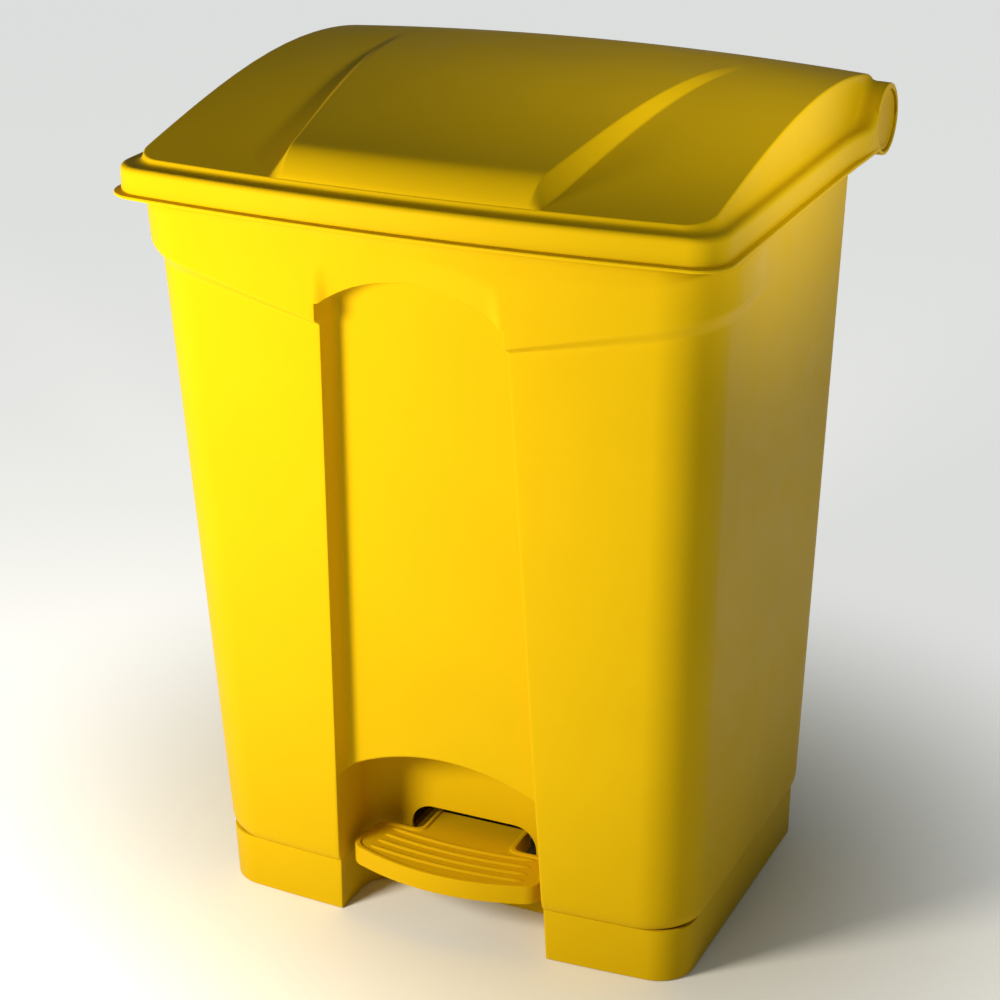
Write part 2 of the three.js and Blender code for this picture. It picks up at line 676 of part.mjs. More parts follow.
function makeLever() {
  const side = polygon([
    [-138, PAD_TOP - 4], [-50, PAD_TOP - 4], [AXLE_Y + 6, AXLE_Z + 13], [60, AXLE_Z + 6], [149, LOWER_PIN_Z + 11],
    [149, LOWER_PIN_Z - 11], [60, AXLE_Z - 14], [AXLE_Y - 6, AXLE_Z - 13], [-50, PAD_TOP - 22], [-138, PAD_TOP - 12],
  ]);
  let lever = prismX(side, -LEVER_THICK / 2, LEVER_THICK / 2);
  lever = lever.add(box(-35, 35, -140, -62, PAD_TOP - 4, PAD_TOP));
  lever = lever.add(barX(9, -30, 30, AXLE_Y, AXLE_Z, 24));
  lever = lever.subtract(barX(AXLE_R + 0.08, -40, 40, AXLE_Y, AXLE_Z, 24));
  lever = lever.subtract(box(-5, 5, 126, 160, LOWER_PIN_Z - 6, LOWER_PIN_Z + 6));
  for (const x of [-TREAD_SCREW_X, TREAD_SCREW_X]) lever = lever.subtract(barZ(2.6, x, treadScrewY, 0, 100));
  return lever;
}

function screw(headR, headH, shankR, length) {
  return barZ(headR, 0, 0, -headH, 0, 16).add(barZ(shankR, 0, 0, -0.5, length, 12));
}

function makeAxle() {
  const grooveR = AXLE_R - 1;
  const end = AXLE_HALF;
  const points = [
    [0, -end], [AXLE_R, -end], [AXLE_R, -end + 2], [grooveR, -end + 2], [grooveR, -end + 3.6], [AXLE_R, -end + 3.6],
    [AXLE_R, end - 3.6], [grooveR, end - 3.6], [grooveR, end - 2], [AXLE_R, end - 2], [AXLE_R, end], [0, end],
  ];
  const geometry = new THREE.LatheGeometry(points.map(([r, h]) => new THREE.Vector2(r, h)), 20);
  geometry.rotateZ(-Math.PI / 2);
  geometry.translate(0, AXLE_Y, AXLE_Z);
  return solid(geometry);
}

function makeAxleClip(side) {
  const clip = new THREE.Shape();
  clip.absarc(0, 0, 7, radians(-50), radians(230), false);
  clip.absarc(0, 0, AXLE_R - 1 + GAP, radians(230), radians(-50), true);
  clip.closePath();
  const x = side * (AXLE_HALF - 2.8);
  return prismX(clip, x - 0.5, x + 0.5, 10).translate([0, AXLE_Y, AXLE_Z]);
}

function makeAxleBush(side) {
  const tube = barX(6.5, -RIB_THICK / 2 - 0.5, RIB_THICK / 2 + 0.5, 0, 0);
  const flange = barX(9, RIB_THICK / 2 + GAP, RIB_THICK / 2 + 1.8, 0, 0);
  const bush = tube.add(flange).subtract(barX(AXLE_R + 0.15, -20, 20, 0, 0));
  const turned = side > 0 ? bush : bush.rotate([0, 0, 180]);
  return turned.translate([side * RIB_X, AXLE_Y, AXLE_Z]);
}

// ---------- lift rod ----------

const lowerPin = { y: liftPin.y - ROD_LEAN, z: LOWER_PIN_Z };
const WIRE_BEND = 7;

/** The rod's centre line: out of the lever's fork, a bend, up the channel, a bend, and into the lid's lug. */
function rodPath() {
  const foot = new THREE.Vector3(WIRE_X, lowerPin.y, lowerPin.z);
  const head = new THREE.Vector3(WIRE_X, liftPin.y, liftPin.z);
  const along = head.clone().sub(foot).normalize().multiplyScalar(WIRE_BEND);
  const path = new THREE.CurvePath();
  const footIn = foot.clone().add(new THREE.Vector3(WIRE_BEND, 0, 0));
  const headIn = head.clone().add(new THREE.Vector3(WIRE_BEND, 0, 0));
  const low = foot.clone().add(along);
  const high = head.clone().sub(along);
  path.add(new THREE.LineCurve3(new THREE.Vector3(9, lowerPin.y, lowerPin.z), footIn));
  path.add(new THREE.QuadraticBezierCurve3(footIn, foot, low));
  path.add(new THREE.LineCurve3(low, high));
  path.add(new THREE.QuadraticBezierCurve3(high, head, headIn));
  path.add(new THREE.LineCurve3(headIn, new THREE.Vector3(9, liftPin.y, liftPin.z)));
  return path;
}

/** The wire as a closed tube of short straight lengths round its path. */
function makeRod() {
  const path = rodPath();
  const stations = [];
  for (const curve of path.curves) {
    const steps = curve.isLineCurve3 ? 1 : 5;
    for (let i = stations.length ? 1 : 0; i <= steps; i += 1) {
      stations.push([curve.getPoint(i / steps), curve.getTangent(i / steps)]);
    }
  }
  const lean = new THREE.Vector3(0, liftPin.y - lowerPin.y, liftPin.z - lowerPin.z).normalize();
  const side = new THREE.Vector3(1, 0, 0).cross(lean);
  const rings = stations.map(([centre, tangent]) => {
    const across = side.clone().cross(tangent).normalize();
    const ring = [];
    for (let i = 0; i < 10; i += 1) {
      const a = 2 * Math.PI * i / 10;
      const point = centre.clone().addScaledVector(across, WIRE_R * Math.cos(a)).addScaledVector(side, WIRE_R * Math.sin(a));
      ring.push(point.toArray());
    }
    return ring;
  });
  return roundBar(rings, stations[0][0], stations[stations.length - 1][0]);
}

/** A closed skin over rings, with each end drawn in to its centre point. */
function roundBar(rings, start, end) {
  const count = rings[0].length;
  const positions = [...rings.flat(2), ...start.toArray(), ...end.toArray()];
  const index = bands(rings);
  const first = rings.length * count;
  const lastRing = (rings.length - 1) * count;
  for (let i = 0; i < count; i += 1) {
    index.push(first, (i + 1) % count, i, first + 1, lastRing + i, lastRing + (i + 1) % count);
  }
  const geometry = new THREE.BufferGeometry();
  geometry.setAttribute('position', new THREE.Float32BufferAttribute(positions, 3));
  geometry.setIndex(index);
  return solid(geometry);
}

function makeRodClip(at) {
  const clip = new THREE.Shape();
  clip.absarc(0, 0, 6.5, 0, 2 * Math.PI, false);
  const hole = new THREE.Path();
  hole.absarc(0, 0, WIRE_R + 0.2, 0, 2 * Math.PI, true);
  clip.holes.push(hole);
  return prismX(clip, at.x, at.x + 1.2, 10).translate([0, at.y, at.z]);
}

// ---------- rear cover ----------

function makeCover() {
  let cover = box(-COVER_HALF, COVER_HALF, REAR_Y + GAP, REAR_Y + GAP + COVER_THICK, 50, 598);
  for (const [x, z] of coverScrewSpots) cover = cover.subtract(barY(2.4, x, REAR_Y - 5, REAR_Y + 10, z));
  return cover;
}

function makeCoverScrew(x, z) {
  const made = screw(4.2, 1.8, 1.7, 6 + COVER_THICK).rotate([90, 0, 0]);
  return made.translate([x, REAR_Y + 2 * GAP + COVER_THICK, z]);
}

// ---------- assembly ----------

add('body_shell', makeTub(), yellow);
add('base_frame', makeBase(), yellow);
add('lid_shell', makeLid(), yellow);
for (const [side, word] of [[-1, 'left'], [1, 'right']]) {
  add(`hinge_cap_${word}`, makeCap(side), yellow);
  add(`hinge_bush_${word}`, makeHingeBush(side), nylon);
  add(`axle_bush_${word}`, makeAxleBush(side), nylon);
  add(`axle_clip_${word}`, makeAxleClip(side), steel);
  const tip = screw(4, 2.4, 2, 6).translate([side * TREAD_SCREW_X, treadScrewY, PAD_TOP - 4 - GAP]);
  add(`tread_screw_${word}`, tip, steel);
}
add('hinge_rod', barX(ROD_R, -240, 240, AXIS_Y, AXIS_Z, 20), steel);
add('pedal_tread', makeTread(), yellow);
add('pedal_lever', makeLever(), steel);
add('pedal_axle', makeAxle(), steel);
add('lift_rod', makeRod(), steel);
add('rod_clip_upper', makeRodClip({ x: 3.6, y: liftPin.y, z: liftPin.z }), steel);
add('rod_clip_lower', makeRodClip({ x: 3.4, y: lowerPin.y, z: lowerPin.z }), steel);
add('channel_cover', makeCover(), yellow);
coverScrewSpots.forEach(([x, z], i) => add(`cover_screw_${i + 1}`, makeCoverScrew(x, z), steel));
baseScrewSpots.forEach(([x, y], i) => {
  add(`base_screw_${i + 1}`, screw(5, 3, 2.2, 56).translate([x, y, 12 - GAP]), steel);
});

export default bin;
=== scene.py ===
"""Looks of the pedal bin: fine moulded surfaces, plastic and metal materials, light and camera.

Lengths in the shape functions are millimetres and are turned into metres when a mesh is made.
X is to the right seen from the front, Y to the back, Z up.
"""

import json
import math

import bmesh
import bpy
import numpy as np
from mathutils import Matrix, Vector


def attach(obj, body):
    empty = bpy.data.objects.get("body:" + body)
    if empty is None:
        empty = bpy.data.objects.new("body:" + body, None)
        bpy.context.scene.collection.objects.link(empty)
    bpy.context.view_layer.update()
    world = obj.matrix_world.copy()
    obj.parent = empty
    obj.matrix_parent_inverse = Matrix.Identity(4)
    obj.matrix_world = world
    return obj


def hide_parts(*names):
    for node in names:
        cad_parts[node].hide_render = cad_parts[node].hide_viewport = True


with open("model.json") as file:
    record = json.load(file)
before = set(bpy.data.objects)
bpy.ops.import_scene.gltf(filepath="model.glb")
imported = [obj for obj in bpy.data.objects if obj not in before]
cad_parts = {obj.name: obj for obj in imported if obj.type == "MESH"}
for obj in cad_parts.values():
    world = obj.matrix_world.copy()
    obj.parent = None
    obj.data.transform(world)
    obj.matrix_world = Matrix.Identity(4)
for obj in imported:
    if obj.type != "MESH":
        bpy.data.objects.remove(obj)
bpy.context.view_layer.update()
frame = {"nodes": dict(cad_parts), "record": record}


MM = 0.001

# ---------- dimensions, the same as the CAD model's ----------

SEAM_Z = 48
TUB_BOTTOM = 48.3
RIM_Z, REAR_RIM_Z = 637, 606
FLOOR_TOP, FLOOR_UNDER = 95, 92
SIDE_AT_0, SIDE_DRAFT = 212.5, 0.0365
FRONT_AT_0, FRONT_DRAFT = 147, 0.0585
REAR_Y, FRONT_BOW = 158, 9
FRONT_CORNER_R, REAR_CORNER_R = 42, 30
WALL = 3

COLLAR_PROUD = 8
COLLAR_FADE = (-125, -35)
RECESS_HALF_AT_0, RECESS_TAPER, RECESS_DEPTH = 94, 0.0305, 20
ARCH_SPRING, ARCH_RISE = 554, 24
NICHE_SPRING, NICHE_RISE, NICHE_BACK, NICHE_R = 133, 25, -80, 24
SLOT_HALF, SLOT_TOP, SLOT_BOTTOM, SLOT_R = 58, 79, 12, 20
CHANNEL_Y, ROD_GAP_HALF = 120, 14

LIP_HALF = 249.95
SKIRT_HALF, SKIRT_FRONT, SKIRT_R = 245, -207.5, 24
PANEL_HALF, PANEL_FRONT, PANEL_R = 230, -191.5, 20
LEDGE_Z, LID_BOW, CROWN = 643.5, 14.5, 8
BULGE_END = 105
AXIS_Y, AXIS_Z = 183.1, 641.5
BARREL_R, BARREL_WALL, BARREL_X = 29.4, 3.6, 250.4
LUG_X, LUG_THICK, LUG_R = 158, 16, 12
LIFT_ARM, LIFT_ANGLE = 40, math.radians(40)
LIFT_PIN = (AXIS_Y - LIFT_ARM * math.cos(LIFT_ANGLE), AXIS_Z - LIFT_ARM * math.sin(LIFT_ANGLE))
BUSH_HOLE_R = 6.8


def mix(a, b, t):
    return a + (b - a) * t


def smooth(t):
    t = np.clip(t, 0, 1)
    return t * t * (3 - 2 * t)


# ---------- meshes ----------

WELD = 0.01  # points nearer than this are one
SHARP = math.radians(38)  # edges steeper than this stay crisp


class Skin:
    """Grids of points that weld into one closed mesh."""

    def __init__(self):
        self.points, self.faces = [], []

    def grid(self, points, flip=False, wrap=False):
        """points[row][column]; faces look along row direction x column direction."""
        points = np.asarray(points, float)
        rows, columns = points.shape[:2]
        start = len(self.points)
        self.points.extend(points.reshape(-1, 3).tolist())
        last = columns if wrap else columns - 1
        for r in range(rows - 1):
            for c in range(last):
                d = (c + 1) % columns
                face = [start + r * columns + c, start + r * columns + d,
                        start + (r + 1) * columns + d, start + (r + 1) * columns + c]
                self.faces.append(face[::-1] if flip else face)

    def cap(self, ring, flip=False):
        start = len(self.points)
        self.points.extend(np.asarray(ring, float).tolist())
        face = list(range(start, start + len(ring)))
        self.faces.append(face[::-1] if flip else face)

    def block(self, low, high, edge=0.0):
        """A box, optionally with all edges bevelled by edge."""
        bm = bmesh.new()
        bmesh.ops.create_cube(bm, size=1)
        for v in bm.verts:
            v.co = Vector([mix(low[i], high[i], v.co[i] + 0.5) for i in range(3)])
        if edge:
            bmesh.ops.bevel(bm, geom=bm.edges[:], offset=edge, segments=2, profile=0.5, affect="EDGES")
        self.take(bm)

    def take(self, bm):
        bm.verts.index_update()
        start = len(self.points)
        self.points.extend([list(v.co) for v in bm.verts])
        self.faces.extend([[start + v.index for v in f.verts] for f in bm.faces])
        bm.free()

    def make(self, name, recalc=True):
        mesh = bpy.data.meshes.new(name)
        mesh.from_pydata((np.array(self.points) * MM).tolist(), [], self.faces)
        bm = bmesh.new()
        bm.from_mesh(mesh)
        bmesh.ops.remove_doubles(bm, verts=bm.verts, dist=WELD * MM)
        bmesh.ops.dissolve_degenerate(bm, dist=WELD * MM * 0.5, edges=bm.edges)
        if recalc:
            bmesh.ops.recalc_face_normals(bm, faces=bm.faces)
        for f in bm.faces:
            f.smooth = True
        bm.to_mesh(mesh)
        bm.free()
        obj = bpy.data.objects.new(name, mesh)
        bpy.context.scene.collection.objects.link(obj)
        return obj


def cut(obj, tool):
    """Takes tool away from obj and deletes the tool."""
    modifier = obj.modifiers.new("cut", "BOOLEAN")
    modifier.operation = "DIFFERENCE"
    modifier.solver = "MANIFOLD"
    modifier.object = tool
    bpy.context.view_layer.update()
    done = bpy.data.meshes.new_from_object(obj.evaluated_get(bpy.context.evaluated_depsgraph_get()))
    obj.modifiers.clear()
    old = obj.data
    obj.data = done
    bpy.data.meshes.remove(old)
    done.name = obj.name
    bpy.data.objects.remove(tool)
    return obj


def join(name, objects):
    """One object from several, made of separate closed shells."""
    bm = bmesh.new()
    for o in objects:
        bm.from_mesh(o.data)
    mesh = bpy.data.meshes.new(name)
    bm.to_mesh(mesh)
    bm.free()
    for o in objects:
        old = o.data
        bpy.data.objects.remove(o)
        bpy.data.meshes.remove(old)
    obj = bpy.data.objects.new(name, mesh)
    bpy.context.scene.collection.objects.link(obj)
    return obj


def even_shading(obj):
    """Smooth shading that keeps large faces flat beside small roundings, and true edges sharp."""
    mesh = obj.data
    mesh.shade_smooth()
    bm = bmesh.new()
    bm.from_mesh(mesh)
    for e in bm.edges:
        e.smooth = len(e.link_faces) == 2 and e.calc_face_angle(math.pi) < SHARP
    bm.to_mesh(mesh)
    bm.free()
    weighted = obj.modifiers.new("weighted", "WEIGHTED_NORMAL")
    weighted.keep_sharp = True
    weighted.weight = 60


def turn(steps):
    """Evenly spaced angles of a full turn."""
    return np.linspace(0, 2 * math.pi, steps, endpoint=False)


def lathe_x(skin, profile, centre, steps=64):
    """Turns (x, radius) points round the X axis through centre = (y, z). The profile is a closed loop."""
    rings = []
    for x, r in profile + profile[:1]:
        rings.append([[x, centre[0] + r * math.cos(a), centre[1] + r * math.sin(a)]
                      for a in turn(steps)])
    skin.grid(rings, wrap=True)


def lathe_z(skin, profile, centre, steps):
    """The same for (z, radius) points round an upright axis through centre = (x, y)."""
    rings = [[[centre[0] + r * math.cos(a), centre[1] + r * math.sin(a), z] for a in turn(steps)]
             for z, r in profile + profile[:1]]
    skin.grid(rings, wrap=True)


def add_prism(skin, rings):
    """A closed prism between two rings of points."""
    skin.grid(rings, wrap=True)
    skin.cap(rings[0], flip=True)
    skin.cap(rings[1])


# ---------- tub ----------


def saturate(x, start, reach):
    """Follows x up to start, then eases to a stop over reach."""
    over = np.clip(x - start, 0, reach)
    return np.minimum(x, start) + over - over**2 / (2 * reach)


def recess_half(z):
    return RECESS_HALF_AT_0 - RECESS_TAPER * z


def arch(x, half, rise):
    """Height of a shallow arch over its springing line."""
    radius = (half**2 + rise**2) / (2 * rise)
    x = np.minimum(np.abs(x), half)
    return np.sqrt(radius**2 - x**2) - (radius - rise)


def tub_columns():
    """Columns from the front's middle round the right side to the rear's middle: (zone, parameter)."""
    columns = [("floor", t) for t in np.linspace(0, 1, 9)[:-1]]
    columns += [("fillet", k) for k in range(10)]
    columns += [("wall", k) for k in range(6)]
    columns += [("front", t) for t in np.linspace(0, 1, 10)[1:]]
    columns += [("corner", t) for t in np.linspace(0, 1, 17)[1:]]
    columns += [("side", t) for t in np.linspace(0, 1, 15)[1:]]
    columns += [("back corner", t) for t in np.linspace(0, 1, 11)[1:]]
    columns += [("rear", t) for t in np.linspace(0, 1, 6)[1:]]
    columns += [("channel", k) for k in range(9)]
    return columns


FLOOR_EDGE = 24  # how far inside the recess's half-width its flat floor ends
# (inset from the recess's half-width, share of its depth) on the fillet at the foot of its side wall
FILLET = [(FLOOR_EDGE, 1), (18, 1), (13, 1), (9.5, 1), (7.4, 0.998), (6.2, 0.985), (5.0, 0.955), (4.1, 0.905),
          (3.4, 0.83), (3.0, 0.74)]
# the same up the side wall and over its rounded outer edge, with the niche's share of the way out
SIDE_WALL = [(2.0, 0.5, 0.5), (0.75, 0.15, 0.12), (0.35, 0.06, 0.045), (-0.1, 0.018, 0.014),
             (-0.9, 0.003, 0.003), (-2.4, 0, 0)]
# (x, y) round the rear channel's edge, side wall and back
CHANNEL = [(33, 158), (31.2, 157.8), (30.3, 157.2), (30, 156), (30, 124), (29.4, 121.6), (28, 120.4),
           (26, 120), (0, 120)]


def front_at(z, x, half, start, inset):
    bow = FRONT_BOW * (saturate(x, start, FRONT_CORNER_R) / half) ** 2
    return -(FRONT_AT_0 + FRONT_DRAFT * z) + inset + bow


def tub_point(column, z, z_flat, inset, collar, shares, grow, radii=(FRONT_CORNER_R, REAR_CORNER_R)):
    """One point of the tub's right half. grow > 0 gives the inner surface, that far inside the outer one.

    shares = (niche, bevel, ceiling): 1 inside the niche's height, the bevel's depth over the arch, and
    the share of the recess's depth left under the arch."""
    zone, k = column
    niche, bevel, ceiling = shares
    inset = inset + grow
    half = SIDE_AT_0 + SIDE_DRAFT * z_flat - inset
    r_front, r_rear = radii[0] - grow, radii[1] - grow
    start = half - r_front
    recess = recess_half(z_flat) + grow
    floor_y = -(FRONT_AT_0 + FRONT_DRAFT * z) + RECESS_DEPTH + grow
    if zone in ("floor", "fillet", "wall"):
        if zone == "floor":
            x = k * (recess - FLOOR_EDGE - grow)
            depth = 1.0
            niche_x, niche_y = x, NICHE_BACK + grow
            out = 0.0
        elif zone == "fillet":
            off, depth = FILLET[k]
            x = recess - off if off < FLOOR_EDGE else recess - FLOOR_EDGE - grow
            angle = math.radians(90 * k / 9)
            radius = NICHE_R + grow
            niche_x = recess - radius + radius * math.sin(angle)
            niche_y = NICHE_BACK + grow - radius * (1 - math.cos(angle))
            out = 0.0
        else:
            off, depth, out = SIDE_WALL[k]
            x = recess - off
            niche_x = recess - min(off, 0) - (0.1 if off > 0 else 0)
            niche_y = None
        front = front_at(z, x, half, start, inset) - collar
        edge = front if bevel == 0 else front + bevel * smooth((recess - x) / 12)
        deep = mix(edge, floor_y, depth * ceiling)
        if niche_y is None:
            inner = NICHE_BACK - NICHE_R
            niche_y = mix(front_at(z, niche_x, half, start, inset) - collar, inner, out)
        return [mix(x, niche_x, niche), mix(deep, niche_y, niche), z]
    corner_y = -(FRONT_AT_0 + FRONT_DRAFT * z) + inset + r_front
    if zone == "front":
        x = mix(recess - SIDE_WALL[-1][0], start, k)
        normal = (0.0, -1.0)
        y = front_at(z, x, half, start, inset)
    elif zone == "corner":
        a = math.radians(-90 + 90 * k)
        x = start + r_front * math.cos(a)
        y = corner_y + r_front * math.sin(a) + front_at(0, x, half, start, 0) + FRONT_AT_0
        normal = (math.cos(a), math.sin(a))
    elif zone == "side":
        bow = front_at(0, half, half, start, 0) + FRONT_AT_0
        x, y = half, mix(corner_y + bow, REAR_Y - inset - r_rear, k)
        normal = (1.0, 0.0)
    elif zone == "back corner":
        a = math.radians(90 * k)
        x = half - r_rear + r_rear * math.cos(a)
        y = REAR_Y - inset - r_rear + r_rear * math.sin(a)
        normal = (math.cos(a), 0.0)
    elif zone == "rear":
        x, y = mix(half - r_rear, CHANNEL[0][0] + grow, k), REAR_Y - inset
        normal = (0.0, 0.0)
    else:
        x, y = CHANNEL[k]
        x = x + grow if x else 0.0
        y = REAR_Y - inset if k == 0 else y - grow - (inset - grow if k < 3 else 0)
        normal = (0.0, 0.0)
    fade = 1 - smooth((y - COLLAR_FADE[0]) / (COLLAR_FADE[1] - COLLAR_FADE[0]))
    return [x + normal[0] * collar * fade, y + normal[1] * collar * fade, z]


def flat_position(column, z, grow):
    """(x, y) of a column at height z on the plain tub, used to place the curved rows."""
    p = tub_point(column, z, z, 0, 0, (0, 0, 1), grow)
    return p[0], p[1]


def tub_rows():
    """Rows from the bottom to the rim: (family, parameter)."""
    rows = [("bottom", k) for k in range(8)]
    rows += [("low", t) for t in np.linspace(0, 1, 7)[1:-1]]
    rows += [("niche", k) for k in range(5)]
    rows += [("mid", t) for t in np.linspace(0, 1, 14)[1:-1]]
    rows += [("collar", k) for k in range(9)]
    rows += [("under arch", t) for t in (0.35, 0.7)]
    rows += [("arch", k) for k in range(8)]
    rows += [("bevel", k) for k in range(7)]
    rows += [("upper", t) for t in (0.35, 0.7)]
    rows += [("top", k) for k in range(11)]
    return rows


# (height above the bottom, inset)
BOTTOM_ROUND = [(0, 3.6), (0.5, 2.9), (1.6, 2.2), (3.4, 1.4), (5.8, 0.75), (8.6, 0.3), (11, 0.08), (13.4, 0)]
# (height over the niche's arch, share of the niche, extra depth)
NICHE_EDGE = [(-0.06, 1, 0), (0.0, 0, 2.6), (0.5, 0, 1.2), (1.4, 0, 0.35), (3.0, 0, 0)]
# (share of the way up the step, share of the collar's stand-off)
COLLAR_STEP = [(-0.12, 0), (0.0, 0.012), (0.12, 0.07), (0.3, 0.24), (0.5, 0.5), (0.7, 0.76), (0.88, 0.93),
               (1.0, 0.988), (1.12, 1)]
# (height over the recess's arch, share of the recess's depth)
ARCH_EDGE = [(-9, 1.0), (-5, 1.0), (-2.6, 0.985), (-1.2, 0.95), (-0.4, 0.9), (0.0, 0.84), (0.02, 0.05),
             (0.5, 0.0)]
# (share of the way up the bevel, depth)
BEVEL = [(0.02, 5.2), (0.25, 3.9), (0.5, 2.6), (0.75, 1.3), (0.9, 0.55), (1.0, 0.12), (1.12, 0)]
# (height, how far back from the collar's face) over the collar's rounded head and up to the rim
COLLAR_HEAD = [(604, 0), (608, 0), (611.5, 0.3), (614, 1.2), (615.4, 2.8), (616, 5), (616.2, 8), (618, 8),
               (626, 8), (635.8, 8), (RIM_Z, 8)]


ARCH_HALF = 79  # half-width of the arch with its rounded edges
STEP_Z, STEP_HEIGHT = 534, 6  # foot of the collar's step beside the recess, and the height it takes
BEVEL_Z, BEVEL_RISE = 583, 16.5  # top of the arch's bevel at the sides, and its rise in the middle
DROP_Z = 560  # above this the rows sink towards the lower rear rim


def tub_row(row, column, x, y, grow):
    """Height of a row at a column, and what the surface does there."""
    family, k = row
    zone = column[0]
    central = zone in ("floor", "fillet", "wall")
    side = max(abs(x) - ARCH_HALF, 0.0) * (0.2 if central else 1)
    niche_half = recess_half(NICHE_SPRING) + grow
    arch_half = recess_half(ARCH_SPRING) - 3 + grow
    a1 = NICHE_SPRING + (arch(x, niche_half, NICHE_RISE + grow) if central else 0)
    a2 = STEP_Z + 0.2 * side
    step = STEP_HEIGHT + 0.05 * side
    a3 = ARCH_SPRING + (arch(x, arch_half, ARCH_RISE + grow) if central else 0) + 0.25 * side
    rise = BEVEL_RISE * (1 - min(abs(x) / ARCH_HALF, 1) ** 2.2)
    a4 = BEVEL_Z + 0.1 * side + (rise if central else 0)
    inset = collar = 0.0
    niche, bevel, ceiling = 0.0, 0.0, 1.0
    soften = 0.0
    if family == "bottom":
        dz, inset = BOTTOM_ROUND[k]
        z = TUB_BOTTOM + dz
        niche = 1.0
    elif family == "low":
        z = mix(TUB_BOTTOM + 13.4, a1 - 0.06, k)
        niche = 1.0
    elif family == "niche":
        dz, niche, soften = NICHE_EDGE[k]
        z = a1 + (dz if central else mix(-0.06, 3, k / 4))
    elif family == "mid":
        z = mix(a1 + 3, a2 - 0.12 * step, k)
    elif family == "collar":
        v, share = COLLAR_STEP[k]
        z, collar = a2 + v * step, share
    elif family == "under arch":
        z, collar = mix(a2 + 1.12 * step, a3 - 9, k), 1
    elif family == "arch":
        dz, ceiling = ARCH_EDGE[k]
        z, collar = a3 + (dz if central else mix(-9, 0.5, k / 7)), 1
        if k >= 6:
            bevel = BEVEL[0][1] + (0.8 if k == 6 else 0)
            ceiling = 0.0
    elif family == "bevel":
        v, bevel = BEVEL[k]
        z, collar, ceiling = mix(a3 + 0.5, a4, v), 1, 0.0
    elif family == "upper":
        z, collar, ceiling = mix(mix(a3 + 0.5, a4, 1.12), COLLAR_HEAD[0][0], k), 1, 0.0
    else:
        z, back = COLLAR_HEAD[k]
        collar, ceiling = 1 - back / COLLAR_PROUD, 0.0
    if z > DROP_Z:
        drop = float(smooth((y - 100) / 46))
        z -= drop * (z - DROP_Z) * (RIM_Z - REAR_RIM_Z) / (RIM_Z - DROP_Z)
    return z, inset, collar * COLLAR_PROUD, (niche, bevel, ceiling), soften


def tub_grid(rows, grow):
    """Rows of points all the way round the tub, starting at the front's middle."""
    columns = tub_columns()
    out = []
    guess = {c: flat_position(c, 320, grow) for c in columns}
    for row in rows:
        line = []
        for column in columns:
            x, y = guess[column]
            for _ in range(3):
                z, inset, collar, shares, soften = tub_row(row, column, x, y, grow)
                p = tub_point(column, z, z, 0 if column[0] == "channel" else inset, collar, shares, grow)
                x, y = p[0], p[1]
            if soften and column[0] in ("floor", "fillet"):
                p[1] += soften * (1 if column[0] == "floor" or column[1] < 6 else 0.3)
            guess[column] = (x, y)
            line.append(p)
        left = [[-x, y, z] for x, y, z in line[1:-1]][::-1]
        out.append(line + left)
    return np.array(out)


def make_tub():
    """The tub: outer face, cavity and hollow underside, with openings for the pedal and the rod."""
    skin = Skin()
    rows = tub_rows()
    outer = tub_grid(rows, 0)
    inner = tub_grid(rows, WALL)
    bottom = len(BOTTOM_ROUND)
    cavity = inner[bottom:].copy()
    cavity[0, :, 2] = FLOOR_TOP
    under = inner[[1, bottom - 2]]
    under[0, :, 2] = TUB_BOTTOM
    under[1, :, 2] = FLOOR_UNDER
    skin.grid(outer, wrap=True)
    skin.grid(cavity[::-1], wrap=True)
    skin.grid([outer[-1], mix(outer[-1], inner[-1], 0.5) + [0, 0, 0.4], inner[-1]], wrap=True)
    skin.grid(under[::-1], wrap=True)
    skin.grid([under[0], outer[0]], wrap=True)
    skin.cap(cavity[0])
    skin.cap(under[1], flip=True)
    tub = skin.make("tub")
    tool = Skin()
    add_prism(tool, rounded_slot(SLOT_HALF, SLOT_TOP, SLOT_R))
    tool.block((-ROD_GAP_HALF, CHANNEL_Y - 8, 0), (ROD_GAP_HALF, CHANNEL_Y + 8, FLOOR_UNDER - 2))
    cut(tub, tool.make("slot tool"))
    return tub


def rounded_slot(half, top, r):
    """The outline of the pedal's opening at two depths, either side of the niche's back wall."""
    outline = [(-half, 0.0), (half, 0.0)]
    quarter = np.linspace(0, math.pi / 2, 9)
    outline += [(half - r + r * math.cos(a), top - r + r * math.sin(a)) for a in quarter]
    outline += [(-half + r - r * math.sin(a), top - r + r * math.cos(a)) for a in quarter]
    return [[[x, y, z] for x, z in outline] for y in (NICHE_BACK - 12, NICHE_BACK + 12)]


# ---------- lid ----------


def edge_height(y):
    """Height of the domed panel's edge at depth y."""
    u = y / 100
    return 682.8 + 10.3 * u - 5.7 * u**2 - 0.9 * u**3


def edge_slope(y):
    """How fast that height changes with depth."""
    u = y / 100
    return (10.3 - 11.4 * u - 2.7 * u**2) / 100


def ledge_height(y):
    """The flat ledge beside the dome, sweeping up over the barrel through a fillet."""
    fillet = 25
    reach = math.sqrt((fillet + BARREL_R) ** 2 - (LEDGE_Z + fillet - AXIS_Z) ** 2)
    start = AXIS_Y - reach
    meet = AXIS_Y - reach * BARREL_R / (fillet + BARREL_R)
    if y <= start:
        return LEDGE_Z
    if y <= meet:
        return LEDGE_Z + fillet - math.sqrt(fillet**2 - (y - start) ** 2)
    return AXIS_Z + math.sqrt(max(BARREL_R**2 - (y - AXIS_Y) ** 2, 0))


